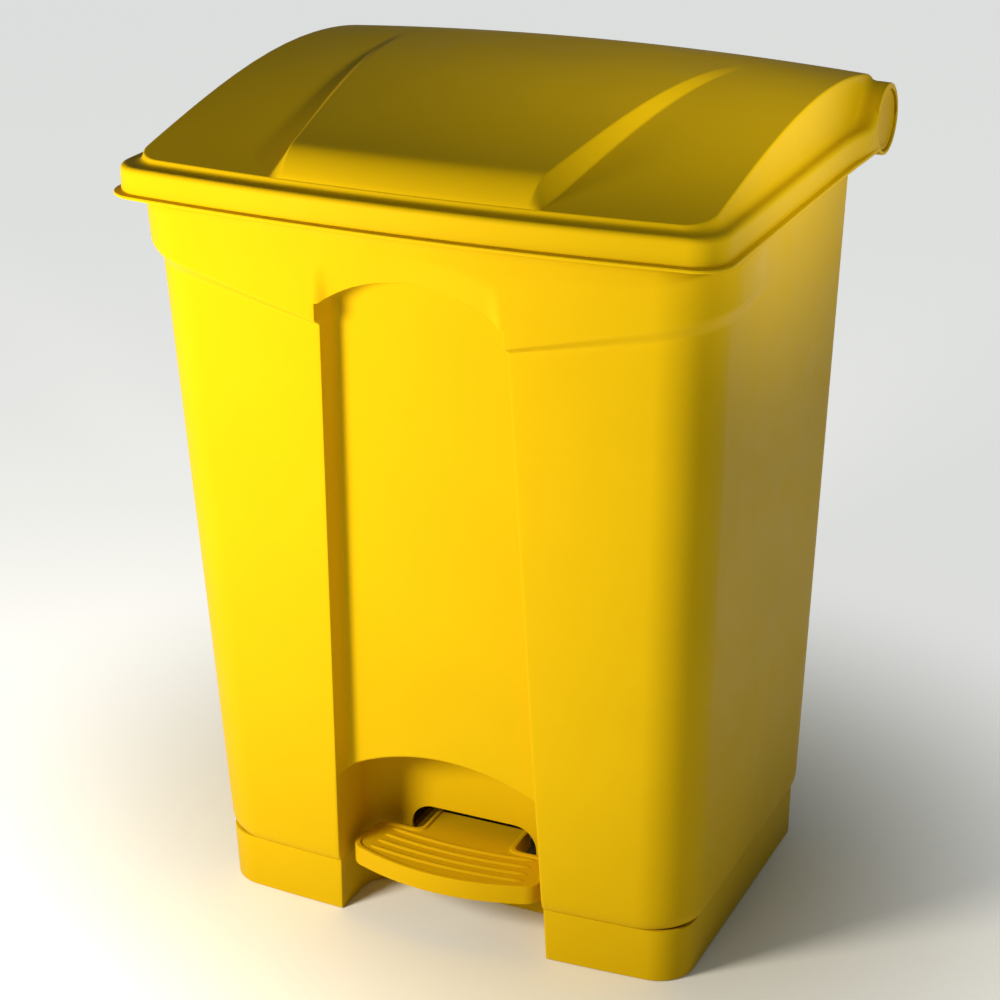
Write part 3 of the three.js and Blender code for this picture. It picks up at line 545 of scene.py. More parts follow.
NOSE_DEPTH, BULGE_HEIGHT = 27, 5.6
BULGE_TOP, BULGE_FOOT = (127.6, 0.148), (137, 0.146)  # half-width at depth 0 and its growth with depth
BULGE_SOFT = 0.09  # how far the bulge's edges are rounded, as a share of its side wall
DOME_DROP = 0.3
PANEL_LENGTH = AXIS_Y - PANEL_FRONT
PANEL_FLAT, SKIRT_FLAT = PANEL_HALF - PANEL_R, SKIRT_HALF - SKIRT_R  # where the front corners begin
# Distances behind the panel's front edge. The first group lies in the rounded corners.
CORNER_ROWS = [0, 0.7, 1.8, 3.4, 5.6, 8.4, 12, 16, 20]
FLAT_ROWS = [24, 28, 33, 40, 50, 64, 82, 104, 130, 158, 188, 218, 246, 272, 296, 314, 327.1, 332, 337,
             342, 346, 348.9]
BARREL_ROWS = [353, 358, 364, 370, PANEL_LENGTH]
WRAP_ROWS = 10
LINES_ACROSS = [0, 0.16, 0.34, 0.52, 0.7, 0.86, 0.96]
BULGE_LINES = [-0.3, -0.18, -0.1, -0.03, 0.04, 0.12, 0.25, 0.45, 0.65, 0.82, 0.92, 1.0, 1.08, 1.2, 1.4]
OUTER_LINES = [0.12, 0.3, 0.5, 0.7, 0.86, 1.0]
CORNER_LINES = [0.12, 0.26, 0.42, 0.58, 0.72, 0.84, 0.93, 1.0]


def bulge_sides(y):
    """Half-widths of the bulge's top and of its foot at depth y."""
    y = min(y, BULGE_END)
    return BULGE_TOP[0] + BULGE_TOP[1] * y, BULGE_FOOT[0] + BULGE_FOOT[1] * y


def lines_at(y):
    """Where the lengthwise lines of the lid's right half cross depth y, with the bulge's share of height."""
    top, foot = bulge_sides(y)
    lines = [(t * (top - 4), 1.0) for t in LINES_ACROSS]
    lines += [(mix(top, foot, s), bulge_share(s)) for s in BULGE_LINES]
    last = lines[-1][0]
    lines += [(mix(last, PANEL_FLAT, t), 0.0) for t in OUTER_LINES]
    lines += [(PANEL_FLAT + PANEL_R * t, 0.0) for t in CORNER_LINES]
    return lines


def bulge_share(s):
    """1 on the bulge, falling to 0 across its side wall, with both edges rounded."""
    for centre, sign in ((0, 1), (1, -1)):
        if abs(s - centre) < BULGE_SOFT:
            blend = (s - centre + BULGE_SOFT * sign) ** 2 / (4 * BULGE_SOFT)
            return 1 - blend if centre == 0 else blend
    return float(np.clip(1 - s, 0, 1))


def lid_bow(x, back):
    """How far the lid lies behind its middle line at x, as its front edge is bowed."""
    return LID_BOW * (saturate(abs(x), 215, 35) / LIP_HALF) ** 2 * (1 - float(smooth(back / PANEL_LENGTH)))


def nose(back):
    """Share of the bulge's height this far behind its front edge."""
    return math.sin(math.pi / 2 * min(back / NOSE_DEPTH, 1)) ** 0.75


def corner_shares(x, back):
    """How far into a front corner a point lies, sideways and forwards, from 0 to 1."""
    return max(x - PANEL_FLAT, 0) / PANEL_R, max(PANEL_R - back, 0) / PANEL_R


def panel_point(x, back, share, shrink):
    """One point of the domed panel: plan position with rounded front corners, and height."""
    a, b = corner_shares(x, back)
    r = PANEL_R - shrink
    px = PANEL_FLAT + r * a * math.sqrt(1 - b * b / 2) if a else x
    py = PANEL_FRONT + PANEL_R - r * b * math.sqrt(1 - a * a / 2) if b else PANEL_FRONT + back
    rise = float(smooth((py - PANEL_FRONT) / 240))
    z = edge_height(py) - DOME_DROP + CROWN * rise * (1 - (px / PANEL_HALF) ** 2)
    z += share * max(0.0, BULGE_HEIGHT * (1 - py / BULGE_END)) * nose(py - PANEL_FRONT)
    return px, py, z - shrink


def over_barrel(x, z, slope, t):
    """Carries a point above the barrel's axis down round the barrel's back, as t goes from 0 to 1."""
    height = z - AXIS_Z
    reach = min(BARREL_R, height)
    share = reach * slope / height
    c = share / (1 - share)
    across = reach / (1 - c)
    a = mix(math.acos(c), math.radians(-4), t)
    dip = 1.0 if t >= 1 else 0.0
    return [x, AXIS_Y + reach - across + across * math.cos(a) - dip,
            AXIS_Z + height / math.sin(math.acos(c)) * math.sin(a)]


def panel_grid(shrink):
    """The domed panel from its front edge over the barrel, or its inner face when shrink is the wall."""
    grid = []
    for back in CORNER_ROWS + FLAT_ROWS + BARREL_ROWS:
        line = []
        for x, share in lines_at(PANEL_FRONT + back):
            px, py, z = panel_point(x, back, share, shrink)
            line.append([px, py + lid_bow(px, back), z])
        grid.append(line)
    last = grid[-1]
    slope = -edge_slope(AXIS_Y)
    for t in np.linspace(0, 1, WRAP_ROWS)[1:]:
        grid.append([over_barrel(x, z, slope, t) for x, y, z in last])
    return np.array([[[-x, y, z] for x, y, z in line[:0:-1]] + line for line in grid])


# Rings outside the panel: share of the way out to the skirt, and height from (panel edge, ledge)
EDGE_RINGS = [
    (0.0, lambda e, l: e), (0.03, lambda e, l: e - min(0.15, 0.05 * (e - l))),
    (0.065, lambda e, l: e - min(0.7, 0.16 * (e - l))),
    (0.09, lambda e, l: e - min(1.6, 0.3 * (e - l))),
    (0.105, lambda e, l: e - min(3.2, 0.42 * (e - l))),
    (0.14, lambda e, l: l + min(7.0, 0.4 * (e - l))), (0.165, lambda e, l: l + min(4.2, 0.3 * (e - l))),
    (0.215, lambda e, l: l + min(2.2, 0.18 * (e - l))), (0.3, lambda e, l: l + min(0.8, 0.07 * (e - l))),
    (0.4, lambda e, l: l + min(0.15, 0.02 * (e - l))), (0.5, lambda e, l: l), (0.64, lambda e, l: l),
    (0.76, lambda e, l: l - 0.05), (0.84, lambda e, l: l - 0.35), (0.91, lambda e, l: l - 1.0),
    (0.965, lambda e, l: l - 2.1), (0.99, lambda e, l: l - 3.4), (1.0, lambda e, l: l - 5.0),
]
# (share of the way out, height) down the skirt, over the lip and up its inside
SKIRT_RINGS = [
    (1.0, 634), (1.005, 628), (1.01, 625.2), (1.005, 624.3), (0.985, 623.7), (1.0, 623.25), (1.06, 623.1),
    (1.22, 622.95), (1.285, 622.6), (1.31, 621.9), (1.31, 621.0), (1.285, 620.3), (1.23, 620.0),
    (0.84, 620.0), (0.8, 620.4), (0.8, 630),
]
# (share of the way out, height over the ledge) under the ledge, back to the panel's underside
INNER_RINGS = [(0.8, -6.5), (0.785, -4.4), (0.74, -3.3), (0.6, -3.0), (0.2, -3.0), (0.0, -2.6), (-0.1, -1.6),
               (-0.17, 0.5)]
# depths between which the skirt opens out to the barrel's ends and its lip fades, and by how much
FLARE, FLARE_OUT = (95, 157), 5.3
# how far the skirt's side is drawn forward at the front corner, and the length over which that fades
CORNER_PULL, CORNER_RUN = 12, 70
# where the skirt's rear end starts to follow the barrel, the radius it follows and the most it may rise
TUCK_FROM, TUCK_R, TUCK_REACH = 118, 27.6, 27.4
# the part of the skirt that stretches with the ledge's height: its foot, and its head at the lowest ledge
SKIRT_FOOT, SKIRT_HEAD, LEDGE_DROP = 625.2, 638.5, 5


def rim_columns():
    """The panel's boundary from the left rear round the front to the right rear: (side, x, back)."""
    backs = CORNER_ROWS + FLAT_ROWS
    front = [x for x, _ in lines_at(PANEL_FRONT)]
    return ([(-1, PANEL_HALF, b) for b in backs[::-1]] + [(-1, x, 0) for x in front[-2:0:-1]]
            + [(1, x, 0) for x in front[:-1]] + [(1, PANEL_HALF, b) for b in backs])


def ring_point(side, x, back, out, z):
    """A point between the panel's edge (out 0) and the skirt (out 1), beyond which it goes on outward."""
    a, b = corner_shares(x, back)
    px, py, _ = panel_point(x, back, 0, 0)
    if b and a:
        sx = SKIRT_FLAT + SKIRT_R * a * math.sqrt(1 - b * b / 2)
        sy = SKIRT_FRONT + SKIRT_R * (1 - b * math.sqrt(1 - a * a / 2))
    elif b:
        sx, sy = x * SKIRT_FLAT / PANEL_FLAT, mix(SKIRT_FRONT + SKIRT_R, SKIRT_FRONT, b)
    else:
        sx, sy = SKIRT_HALF, py - CORNER_PULL * (1 - float(smooth((back - PANEL_R) / CORNER_RUN)))
    flare = float(smooth((sy - FLARE[0]) / (FLARE[1] - FLARE[0])))
    if out > 1:
        out = mix(out, 1 + 0.02 * (out - 1), flare)
    sx += FLARE_OUT * flare * (1 if b == 0 else 0)
    rx, ry = mix(px, sx, out), mix(py, sy, out)
    return [side * rx, ry + lid_bow(rx, back), z]


def tuck(point):
    """Moves the rear end of the skirt back so that it follows the barrel's round end."""
    x, y, z = point
    meet = PANEL_FRONT + FLAT_ROWS[-1]
    near = float(smooth((y - TUCK_FROM) / (meet - TUCK_FROM)))
    height = min(abs(z - AXIS_Z), TUCK_REACH)
    return [x, y + near * (AXIS_Y - math.sqrt(TUCK_R**2 - height**2) - meet), z]


def make_lid():
    """The lid's sheet: domed panel, ledge, skirt with its lip, and the way back under the panel."""
    skin = Skin()
    outer, inner = panel_grid(0), panel_grid(WALL)
    skin.grid(outer)
    skin.grid(inner[:, ::-1])
    columns = rim_columns()
    edge, skirt, under = [], [], []
    for side, x, back in columns:
        e = panel_point(x, back, 0, 0)[2]
        ledge = ledge_height(PANEL_FRONT + back)
        edge.append([ring_point(side, x, back, m, f(e, ledge)) for m, f in EDGE_RINGS])
        stretch = (ledge - LEDGE_DROP - SKIRT_FOOT) / (SKIRT_HEAD - SKIRT_FOOT)
        line = [edge[-1][-1]]
        for m, z in SKIRT_RINGS:
            z = z if z < 627 else SKIRT_FOOT + (z - SKIRT_FOOT) * stretch
            line.append(tuck(ring_point(side, x, back, m, z)))
        line[0] = tuck(line[0])
        edge[-1][-1] = line[0]
        low = [tuck(ring_point(side, x, back, m, ledge + dz)) for m, dz in INNER_RINGS]
        ix, iy, iz = panel_point(x, back, 0, WALL)
        low.append([side * ix, iy + lid_bow(ix, back), iz])
        skirt.append(line)
        under.append([line[-1]] + low)
    for strip in (edge, skirt, under):
        skin.grid(strip)
    # the ledge's rear ends, carried over the barrel
    for side in (-1, 1):
        rows = []
        for back in [FLAT_ROWS[-1]] + BARREL_ROWS:
            e = panel_point(PANEL_HALF, back, 0, 0)[2]
            y = PANEL_FRONT + back
            ledge = ledge_height(y)
            row = []
            for m, f in EDGE_RINGS:
                z = f(e, ledge)
                p = ring_point(side, PANEL_HALF, back, m, z)
                if z < ledge:
                    k = (BARREL_R - (ledge - z)) / BARREL_R
                    p[1], p[2] = AXIS_Y + (p[1] - AXIS_Y) * k, AXIS_Z + (ledge - AXIS_Z) * k
                row.append(p)
            rows.append(row)
        e, slope = panel_point(PANEL_HALF, PANEL_LENGTH, 0, 0)[2], -edge_slope(AXIS_Y)
        ledge = AXIS_Z + BARREL_R
        for t in np.linspace(0, 1, WRAP_ROWS)[1:]:
            row = []
            for x, y, z in rows[len(BARREL_ROWS)]:
                share = np.clip((z - ledge) / (e - ledge), 0, 1)
                row.append(over_barrel(x, z, slope * share, t))
            rows.append(row)
        skin.grid(rows, flip=side < 0)
    return skin.make("lid sheet", recalc=False)


# openings in the barrel for the tub's two lugs and the rod: (x from, x to, angle from, angle to)
WINDOWS = [(-168, -148, 209, 352), (148, 168, 209, 352), (-17, -5, 196, 350)]


def make_barrel():
    skin = Skin()
    out, bore = BARREL_R - 0.25, BARREL_R - BARREL_WALL
    half = BARREL_X
    profile = [(-half, bore + 0.6), (-half, out - 1.2), (-half + 0.35, out - 0.35), (-half + 1.2, out)]
    profile += [(x, out) for x in np.linspace(-half + 1.2, half - 1.2, 30)[1:-1]]
    profile += [(half - 1.2, out), (half - 0.35, out - 0.35), (half, out - 1.2), (half, bore + 0.6),
                (half - 0.6, bore)]
    profile += [(x, bore) for x in np.linspace(half - 0.6, -half + 0.6, 30)[1:]]
    lathe_x(skin, profile, (AXIS_Y, AXIS_Z))
    barrel = skin.make("barrel")
    tool = Skin()
    for x0, x1, start, end in WINDOWS:
        angles = np.radians(np.linspace(start, end, 14))
        loop = [(AXIS_Y + r * math.cos(a), AXIS_Z + r * math.sin(a))
                for r, order in ((60, 1), (12, -1)) for a in angles[::order]]
        add_prism(tool, [[[x, y, z] for y, z in loop] for x in (x0, x1)])
    return cut(barrel, tool.make("window tool"))


def plate_x(outline, x0, x1, edge=0.0):
    """A plate between x0 and x1 with an outline in Y and Z."""
    bm = bmesh.new()
    face = bm.faces.new([bm.verts.new((x0, y, z)) for y, z in outline])
    more = bmesh.ops.extrude_face_region(bm, geom=[face])
    for v in more["geom"]:
        if isinstance(v, bmesh.types.BMVert):
            v.co.x = x1
    bmesh.ops.recalc_face_normals(bm, faces=bm.faces)
    if edge:
        rim = [e for e in bm.edges if e.calc_face_angle(0) > 0.6]
        bmesh.ops.bevel(bm, geom=rim, offset=edge, segments=2, profile=0.5, affect="EDGES")
    return bm


def circle(y, z, r, steps=32, start=0, end=2 * math.pi):
    angles = np.linspace(start, end, steps, endpoint=end - start < 6.2)
    return [(y + r * math.cos(a), z + r * math.sin(a)) for a in angles]


def make_lift_lug():
    skin = Skin()
    y, z = LIFT_PIN
    web = [(AXIS_Y - 26, AXIS_Z + 6), (AXIS_Y - 17, AXIS_Z - 22)]
    lean = math.atan2(web[1][1] - z, web[1][0] - y)
    eye = circle(y, z, 9, 22, lean + 1.2 - 2 * math.pi, lean - 2.4)
    skin.take(plate_x(web + eye[::-1], -3, 3, 0.6))
    lug = skin.make("lift lug")
    tool = Skin()
    tool.take(plate_x(circle(y, z, 4, 24), -6, 6))
    return cut(lug, tool.make("lug hole"))


# ---------- plinth ----------

AXLE_Y, AXLE_Z, RIB_X, RIB_THICK = -20, 34, 62, 5
BASE_SCREWS = [(-168, -112), (168, -112), (-176, 118), (176, 118)]
PLINTH_INSET, PLINTH_CORNERS = 3.5, (30, 26)
# (height, inset)
PLINTH_ROWS = [(0, 0.8), (0.25, 0.3), (0.9, 0), (12, 0), (24, 0), (36, 0), (47.1, 0), (47.75, 0.25),
               (SEAM_Z, 0.7)]


def plinth_ring(z, inset, grow):
    line = []
    at = PLINTH_INSET + (1 - z / SEAM_Z) + inset + SIDE_DRAFT * (z - SEAM_Z)
    for column in tub_columns():
        p = tub_point(column, z, z, at, 0, (1, 0, 1), grow, PLINTH_CORNERS)
        if column[0] == "channel":
            p[1] = REAR_Y - at - grow
        line.append(p)
    return line + [[-x, y, z] for x, y, z in line[1:-1]][::-1]


def make_plinth():
    """The base ring with its slot, the two ribs that hold the axle, and the screw bosses."""
    skin = Skin()
    outer = [plinth_ring(z, inset, 0) for z, inset in PLINTH_ROWS]
    inner = [plinth_ring(z, 0, WALL) for z in (0, 12, 24, 36, 48)]
    skin.grid(outer, wrap=True)
    skin.grid(inner[::-1], wrap=True)
    skin.grid([outer[-1], inner[-1]], wrap=True)
    skin.grid([inner[0], outer[0]], wrap=True)
    ring = skin.make("plinth ring")
    tool = Skin()
    tool.block((-SLOT_HALF, NICHE_BACK - 12, SLOT_BOTTOM), (SLOT_HALF, NICHE_BACK + 12, SEAM_Z + 10))
    cut(ring, tool.make("plinth slot tool"))
    shells = [ring]
    for side in (-1, 1):
        rib = Skin()
        y0, y1 = NICHE_BACK + 1, REAR_Y - 5.5
        outline = [(y0, 6), (y1, 6), (y1, SEAM_Z), (y0, SEAM_Z)]
        rib.take(plate_x(outline, side * RIB_X - RIB_THICK / 2, side * RIB_X + RIB_THICK / 2, 0.4))
        hole = Skin()
        hole.take(plate_x(circle(AXLE_Y, AXLE_Z, BUSH_HOLE_R), side * RIB_X - 9, side * RIB_X + 9))
        shells.append(cut(rib.make("rib"), hole.make("rib hole")))
    for x, y in BASE_SCREWS:
        boss = Skin()
        wall = math.copysign(SIDE_AT_0 - 4, x)
        boss.block((min(x, wall), y - 2, 10), (max(x, wall), y + 2, SEAM_Z), 0.3)
        tube = Skin()
        profile = [(4, 5.5), (4, 7.4), (4.6, 8), (SEAM_Z, 8), (SEAM_Z, 2.5), (12, 2.5), (12, 5.5)]
        lathe_z(tube, profile, (x, y), 28)
        hole = Skin()
        add_prism(hole, [[[x + 7 * math.cos(a), y + 7 * math.sin(a), z] for a in turn(20)]
                         for z in (0, SEAM_Z + 5)])
        shells += [cut(boss.make("web"), hole.make("web hole")), tube.make("boss")]
    return join("plinth", shells)


# ---------- pedal ----------

TREAD_HALF, TREAD_FRONT, TREAD_BACK = 85, -157, -93
NECK_HALF, NECK_BACK = 43, -58
TREAD_SCREW = (26, -104)
# (inset from the outline, height) from the underside round the edge, over the raised border, to the floor
TREAD_SECTION = [(3.0, 61.0), (3.0, 47.4), (2.6, 47.0), (0.9, 47.0), (0.25, 47.25), (0.0, 47.9), (0.0, 62.3),
                 (0.12, 63.1), (0.5, 63.75), (1.2, 64.0), (2.9, 64.0), (3.5, 63.85), (3.95, 63.4),
                 (4.25, 62.9), (4.8, 62.6), (6.0, 62.5)]
RIB_COUNT, RIB_PITCH, RIB_FIRST, RIB_HALF_LENGTH = 4, 11, 17, 70
RIB_WIDTH, RIB_HEIGHT, RIB_Z = 2.0, 1.95, 62.4


def bezier(a, b, c, steps):
    return [[mix(mix(a[i], b[i], t), mix(b[i], c[i], t), t) for i in (0, 1)]
            for t in np.linspace(0, 1, steps)[1:]]


def tread_outline(inset):
    """The tread's plan: bowed front, rounded corners, and a neck running back through the slot."""
    half, neck = TREAD_HALF - inset, NECK_HALF - inset
    front, back = TREAD_FRONT + inset, TREAD_BACK - inset
    ends, r = front + 13, 13 - 0.5 * inset
    right = bezier((0, front), ((half - r) * 0.5, front), (half - r, ends), 14)
    right += bezier((half - r, ends), (half, ends + 3), (half, ends + r + 4), 9)
    right += [[half - 3 * t, mix(ends + r + 4, back - r, t)] for t in (0.33, 0.66, 1)]
    right += bezier((half - 3, back - r), (half - 4, back), (half - 4 - r, back), 9)
    right += [[mix(half - 4 - r, neck + 9, t), back] for t in (0.5, 1)]
    right += bezier((neck + 9, back), (neck, back), (neck, back + 9), 8)
    right += [[neck, mix(back + 9, NECK_BACK, t)] for t in (0.33, 0.66, 1)]
    left = [[-x, y] for x, y in right[::-1]]
    return [[0, front]] + right + [[0, NECK_BACK]] + left


def make_tread():
    """The pedal's tread with its bowed ribs and the bosses for its screws."""
    skin = Skin()
    rings = [[[x, y, z] for x, y in tread_outline(inset)] for inset, z in TREAD_SECTION]
    skin.grid(rings, wrap=True)
    skin.cap(rings[0])
    skin.cap(rings[-1])
    shells = [skin.make("tread body")]
    for i in range(RIB_COUNT):
        rib = Skin()
        y = TREAD_FRONT + RIB_FIRST + i * RIB_PITCH
        half = RIB_HALF_LENGTH - i * 1.5
        path = [[-half, y + 6]] + bezier((-half, y + 6), (0, y - 6), (half, y + 6), 40)
        rings = []
        for j, (x, py) in enumerate(path):
            before, after = path[max(j - 1, 0)], path[min(j + 1, len(path) - 1)]
            dx, dy = after[0] - before[0], after[1] - before[1]
            size = math.hypot(dx, dy)
            end = min(j, len(path) - 1 - j)
            width = RIB_WIDTH * (0.25, 0.8, 1)[min(end, 2)]
            height = RIB_HEIGHT * (0.35, 0.8, 1)[min(end, 2)]
            ring = []
            for a in np.linspace(-0.35, math.pi + 0.35, 12):
                off, up = width * math.cos(a), height * math.sin(a)
                ring.append([x - off * dy / size, py + off * dx / size, RIB_Z + up])
            rings.append(ring)
        rib.grid(rings, wrap=True)
        rib.cap(rings[0])
        rib.cap(rings[-1])
        shells.append(rib.make("tread rib"))
    for side in (-1, 1):
        boss = Skin()
        profile = [(57.5, 2.2), (57.5, 4.8), (57.8, 5), (61.5, 5), (61.5, 2.2)]
        lathe_z(boss, profile, (side * TREAD_SCREW[0], TREAD_SCREW[1]), 24)
        shells.append(boss.make("tread boss"))
    return join("tread", shells)


# ---------- hinge ----------


def make_hinge_cap(side):
    """A recessed disc in the barrel's end with a pry notch at its top, and a socket for the hinge rod."""
    skin = Skin()
    face, r = BARREL_X - 2, BARREL_R - BARREL_WALL - 0.3
    profile = [(face - 3, 4.3), (face - 3, r - 0.4), (face - 2.6, r), (face - 0.7, r), (face - 0.2, r - 0.3),
               (face, r - 1), (face, r - 3.2), (face - 0.25, r - 3.9), (face - 0.8, r - 4.6),
               (face - 0.9, r - 8), (face - 0.7, 6), (face - 0.62, 0.01), (face - 2.9, 0.01)]
    lathe_x(skin, [(x * side, radius) for x, radius in profile], (AXIS_Y, AXIS_Z), 72)
    disc = skin.make("cap disc")
    tool = Skin()
    low, high = sorted((side * (face - 1.2), side * (face + 1)))
    tool.block((low, AXIS_Y - 3, AXIS_Z + r - 2.4), (high, AXIS_Y + 3, AXIS_Z + r + 2))
    cut(disc, tool.make("notch tool"))
    socket = Skin()
    x0, x1 = side * (face - 18), side * (face - 2.8)
    lathe_x(socket, [(x0, 4.35), (x0, 8), (x1, 8), (x1, 4.35)], (AXIS_Y, AXIS_Z), 40)
    return join("cap_left" if side < 0 else "cap_right", [disc, socket.make("cap socket")])


def make_hinge_lug(side):
    base = REAR_Y - WALL + 0.5
    nose_arc = circle(AXIS_Y, AXIS_Z, LUG_R, 24, math.radians(-30), math.radians(145))
    outline = [(base, 566)] + nose_arc + [(base, 605)]
    lug = Skin()
    lug.take(plate_x(outline, side * LUG_X - LUG_THICK / 2, side * LUG_X + LUG_THICK / 2, 0.8))
    hole = Skin()
    hole.take(plate_x(circle(AXIS_Y, AXIS_Z, BUSH_HOLE_R), side * LUG_X - 20, side * LUG_X + 20))
    return cut(lug.make("hinge lug"), hole.make("lug bore"))


COVER_SCREWS = [(-38, 120), (38, 120), (-38, 560), (38, 560)]
COVER_HOLE_R = 1.9


def drill_cover_holes(tub):
    holes = Skin()
    for x, z in COVER_SCREWS:
        add_prism(holes, [[[x + COVER_HOLE_R * math.cos(a), y, z + COVER_HOLE_R * math.sin(a)]
                           for a in turn(20)] for y in (REAR_Y - 12, REAR_Y + 12)])
    return cut(tub, holes.make("cover screw holes"))


def make_base_bosses():
    skin = Skin()
    top = FLOOR_UNDER + 1
    profile = [(TUB_BOTTOM, 2.5), (TUB_BOTTOM, 6.7), (TUB_BOTTOM + 0.3, 7), (top, 7), (top, 2.5)]
    for x, y in BASE_SCREWS:
        lathe_z(skin, profile, (x, y), 28)
    return skin.make("base bosses")


# ---------- materials ----------


def node_material(name):
    material = bpy.data.materials.new(name)
    material.use_nodes = True
    tree = material.node_tree
    shader = tree.nodes["Principled BSDF"]
    place = tree.nodes.new("ShaderNodeTexCoord")
    return material, tree, shader, place.outputs["Object"]


def noise(tree, place, scale, detail):
    node = tree.nodes.new("ShaderNodeTexNoise")
    node.inputs["Scale"].default_value = scale
    node.inputs["Detail"].default_value = detail
    tree.links.new(place, node.inputs["Vector"])
    return node.outputs["Fac"]


def spread(tree, value, low, high):
    """Stretches a noise's usual range to run from low to high."""
    node = tree.nodes.new("ShaderNodeMapRange")
    node.inputs["From Min"].default_value = 0.3
    node.inputs["From Max"].default_value = 0.7
    node.inputs["To Min"].default_value = low
    node.inputs["To Max"].default_value = high
    tree.links.new(value, node.inputs["Value"])
    return node.outputs["Result"]


def bump(tree, shader, height, strength, distance):
    node = tree.nodes.new("ShaderNodeBump")
    node.inputs["Strength"].default_value = strength
    node.inputs["Distance"].default_value = distance
    tree.links.new(height, node.inputs["Height"])
    tree.links.new(node.outputs["Normal"], shader.inputs["Normal"])


def blend_colours(tree, value, first, second):
    node = tree.nodes.new("ShaderNodeMix")
    node.data_type = "RGBA"
    node.inputs["A"].default_value = (*first, 1)
    node.inputs["B"].default_value = (*second, 1)
    tree.links.new(value, node.inputs["Factor"])
    return node.outputs["Result"]


PLASTIC_IOR, SHEEN, SHEEN_TINT = 1.49, 0.04, (1.0, 0.8, 0.12, 1)


def plastic(name, colour, rough=(0.36, 0.46)):
    """Satin moulded plastic: fine grain, faint flow marks and uneven gloss."""
    material, tree, shader, place = node_material(name)
    broad = noise(tree, place, 9.0, 4.0)
    fine = noise(tree, place, 900.0, 2.0)
    darker = tuple(c * 0.955 for c in colour)
    tree.links.new(blend_colours(tree, spread(tree, broad, 0, 1), colour, darker),
                   shader.inputs["Base Color"])
    tree.links.new(spread(tree, noise(tree, place, 34.0, 5.0), *rough), shader.inputs["Roughness"])
    shader.inputs["IOR"].default_value = PLASTIC_IOR
    shader.inputs["Specular IOR Level"].default_value = SHEEN
    shader.inputs["Specular Tint"].default_value = SHEEN_TINT
    bump(tree, shader, fine, 0.12, 0.0002)
    return material


def metal(name, colour):
    """Bright zinc plate: cloudy gloss and a fine rolled grain."""
    material, tree, shader, place = node_material(name)
    cloud = noise(tree, place, 60.0, 4.0)
    tree.links.new(blend_colours(tree, spread(tree, cloud, 0, 1), colour, tuple(c * 0.86 for c in colour)),
                   shader.inputs["Base Color"])
    tree.links.new(spread(tree, cloud, 0.22, 0.4), shader.inputs["Roughness"])
    shader.inputs["Metallic"].default_value = 1.0
    bump(tree, shader, noise(tree, place, 1400.0, 2.0), 0.1, 0.0001)
    return material


YELLOW = (0.60, 0.38, 0.003)
yellow = plastic("yellow plastic", YELLOW)
yellow_lid = plastic("yellow plastic lid", YELLOW)
yellow_trim = plastic("yellow plastic trim", (0.58, 0.35, 0.003), (0.4, 0.5))
nylon = plastic("natural nylon", (0.72, 0.69, 0.6), (0.4, 0.55))
zinc = metal("zinc plate", (0.62, 0.63, 0.65))
BY_SLOT = {"yellow_plastic": yellow, "yellow_plastic_lid": yellow_lid, "yellow_plastic_trim": yellow_trim,
           "nylon": nylon, "zinc_steel": zinc}


def finish_piece(obj, material, body, slot, *nodes):
    """Gives a detailed piece its material and the body it moves with, and hides the CAD nodes it stands for.
    """
    obj.data.materials.clear()
    obj.data.materials.append(material)
    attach(obj, body)
    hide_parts(*nodes)


for part in frame["record"]["subparts"]:
    node = frame["nodes"][part["node"]]
    node.data.materials.clear()
    node.data.materials.append(BY_SLOT[part["material_slot"]])

tub = join("tub", [drill_cover_holes(make_tub()), make_hinge_lug(-1), make_hinge_lug(1),
                   make_base_bosses()])
even_shading(tub)
finish_piece(tub, yellow, "root", "yellow_plastic", "body_shell")

lid = join("lid", [make_lid(), make_barrel(), make_lift_lug()])
even_shading(lid)
finish_piece(lid, yellow_lid, "lid", "yellow_plastic_lid", "lid_shell")

plinth = make_plinth()
even_shading(plinth)
finish_piece(plinth, yellow, "root", "yellow_plastic", "base_frame")

tread = make_tread()
even_shading(tread)
finish_piece(tread, yellow_trim, "pedal", "yellow_plastic_trim", "pedal_tread")

for side, word in ((-1, "left"), (1, "right")):
    hinge_cap = make_hinge_cap(side)
    even_shading(hinge_cap)
    finish_piece(hinge_cap, yellow_trim, "lid", "yellow_plastic_trim", "hinge_cap_" + word)

# ---------- stage, light and camera ----------

CAMERA_AZIMUTH, CAMERA_ELEVATION, CAMERA_ROLL = 24.705, 22.851, -0.288
CAMERA_DISTANCE, CAMERA_LENS = 2.08657, 90.45
CAMERA_TARGET = Vector((-0.01052, 0.0, 0.33493))
SPOT_RADIUS = 0.12
WORLD_COLOUR, WORLD_STRENGTH = (0.84, 0.98, 0.9, 1), 0.12
FLOOR_RADIUS, FLOOR_DROP, FLOOR_COLOUR, FLOOR_ROUGHNESS = 14, 0.0005, (0.9, 0.9, 0.9, 1), 0.7
# the floor's own glow, a painted light: none under the bin, which paints a soft shadow round it, rising to
# its full strength between these distances
GLOW_FROM, GLOW_TO, GLOW_STRENGTH = 0.15, 0.68, 0.62


def turned_camera(azimuth, elevation, roll):
    a, e, r = (math.radians(v) for v in (azimuth, elevation, roll))
    back = Vector((math.sin(a) * math.cos(e), -math.cos(a) * math.cos(e), math.sin(e)))
    right = Vector((0, 0, 1)).cross(back).normalized()
    up = back.cross(right)
    right, up = right * math.cos(r) + up * math.sin(r), up * math.cos(r) - right * math.sin(r)
    placed = Matrix((right, up, back)).transposed().to_4x4()
    placed.translation = CAMERA_TARGET + back * CAMERA_DISTANCE
    return placed


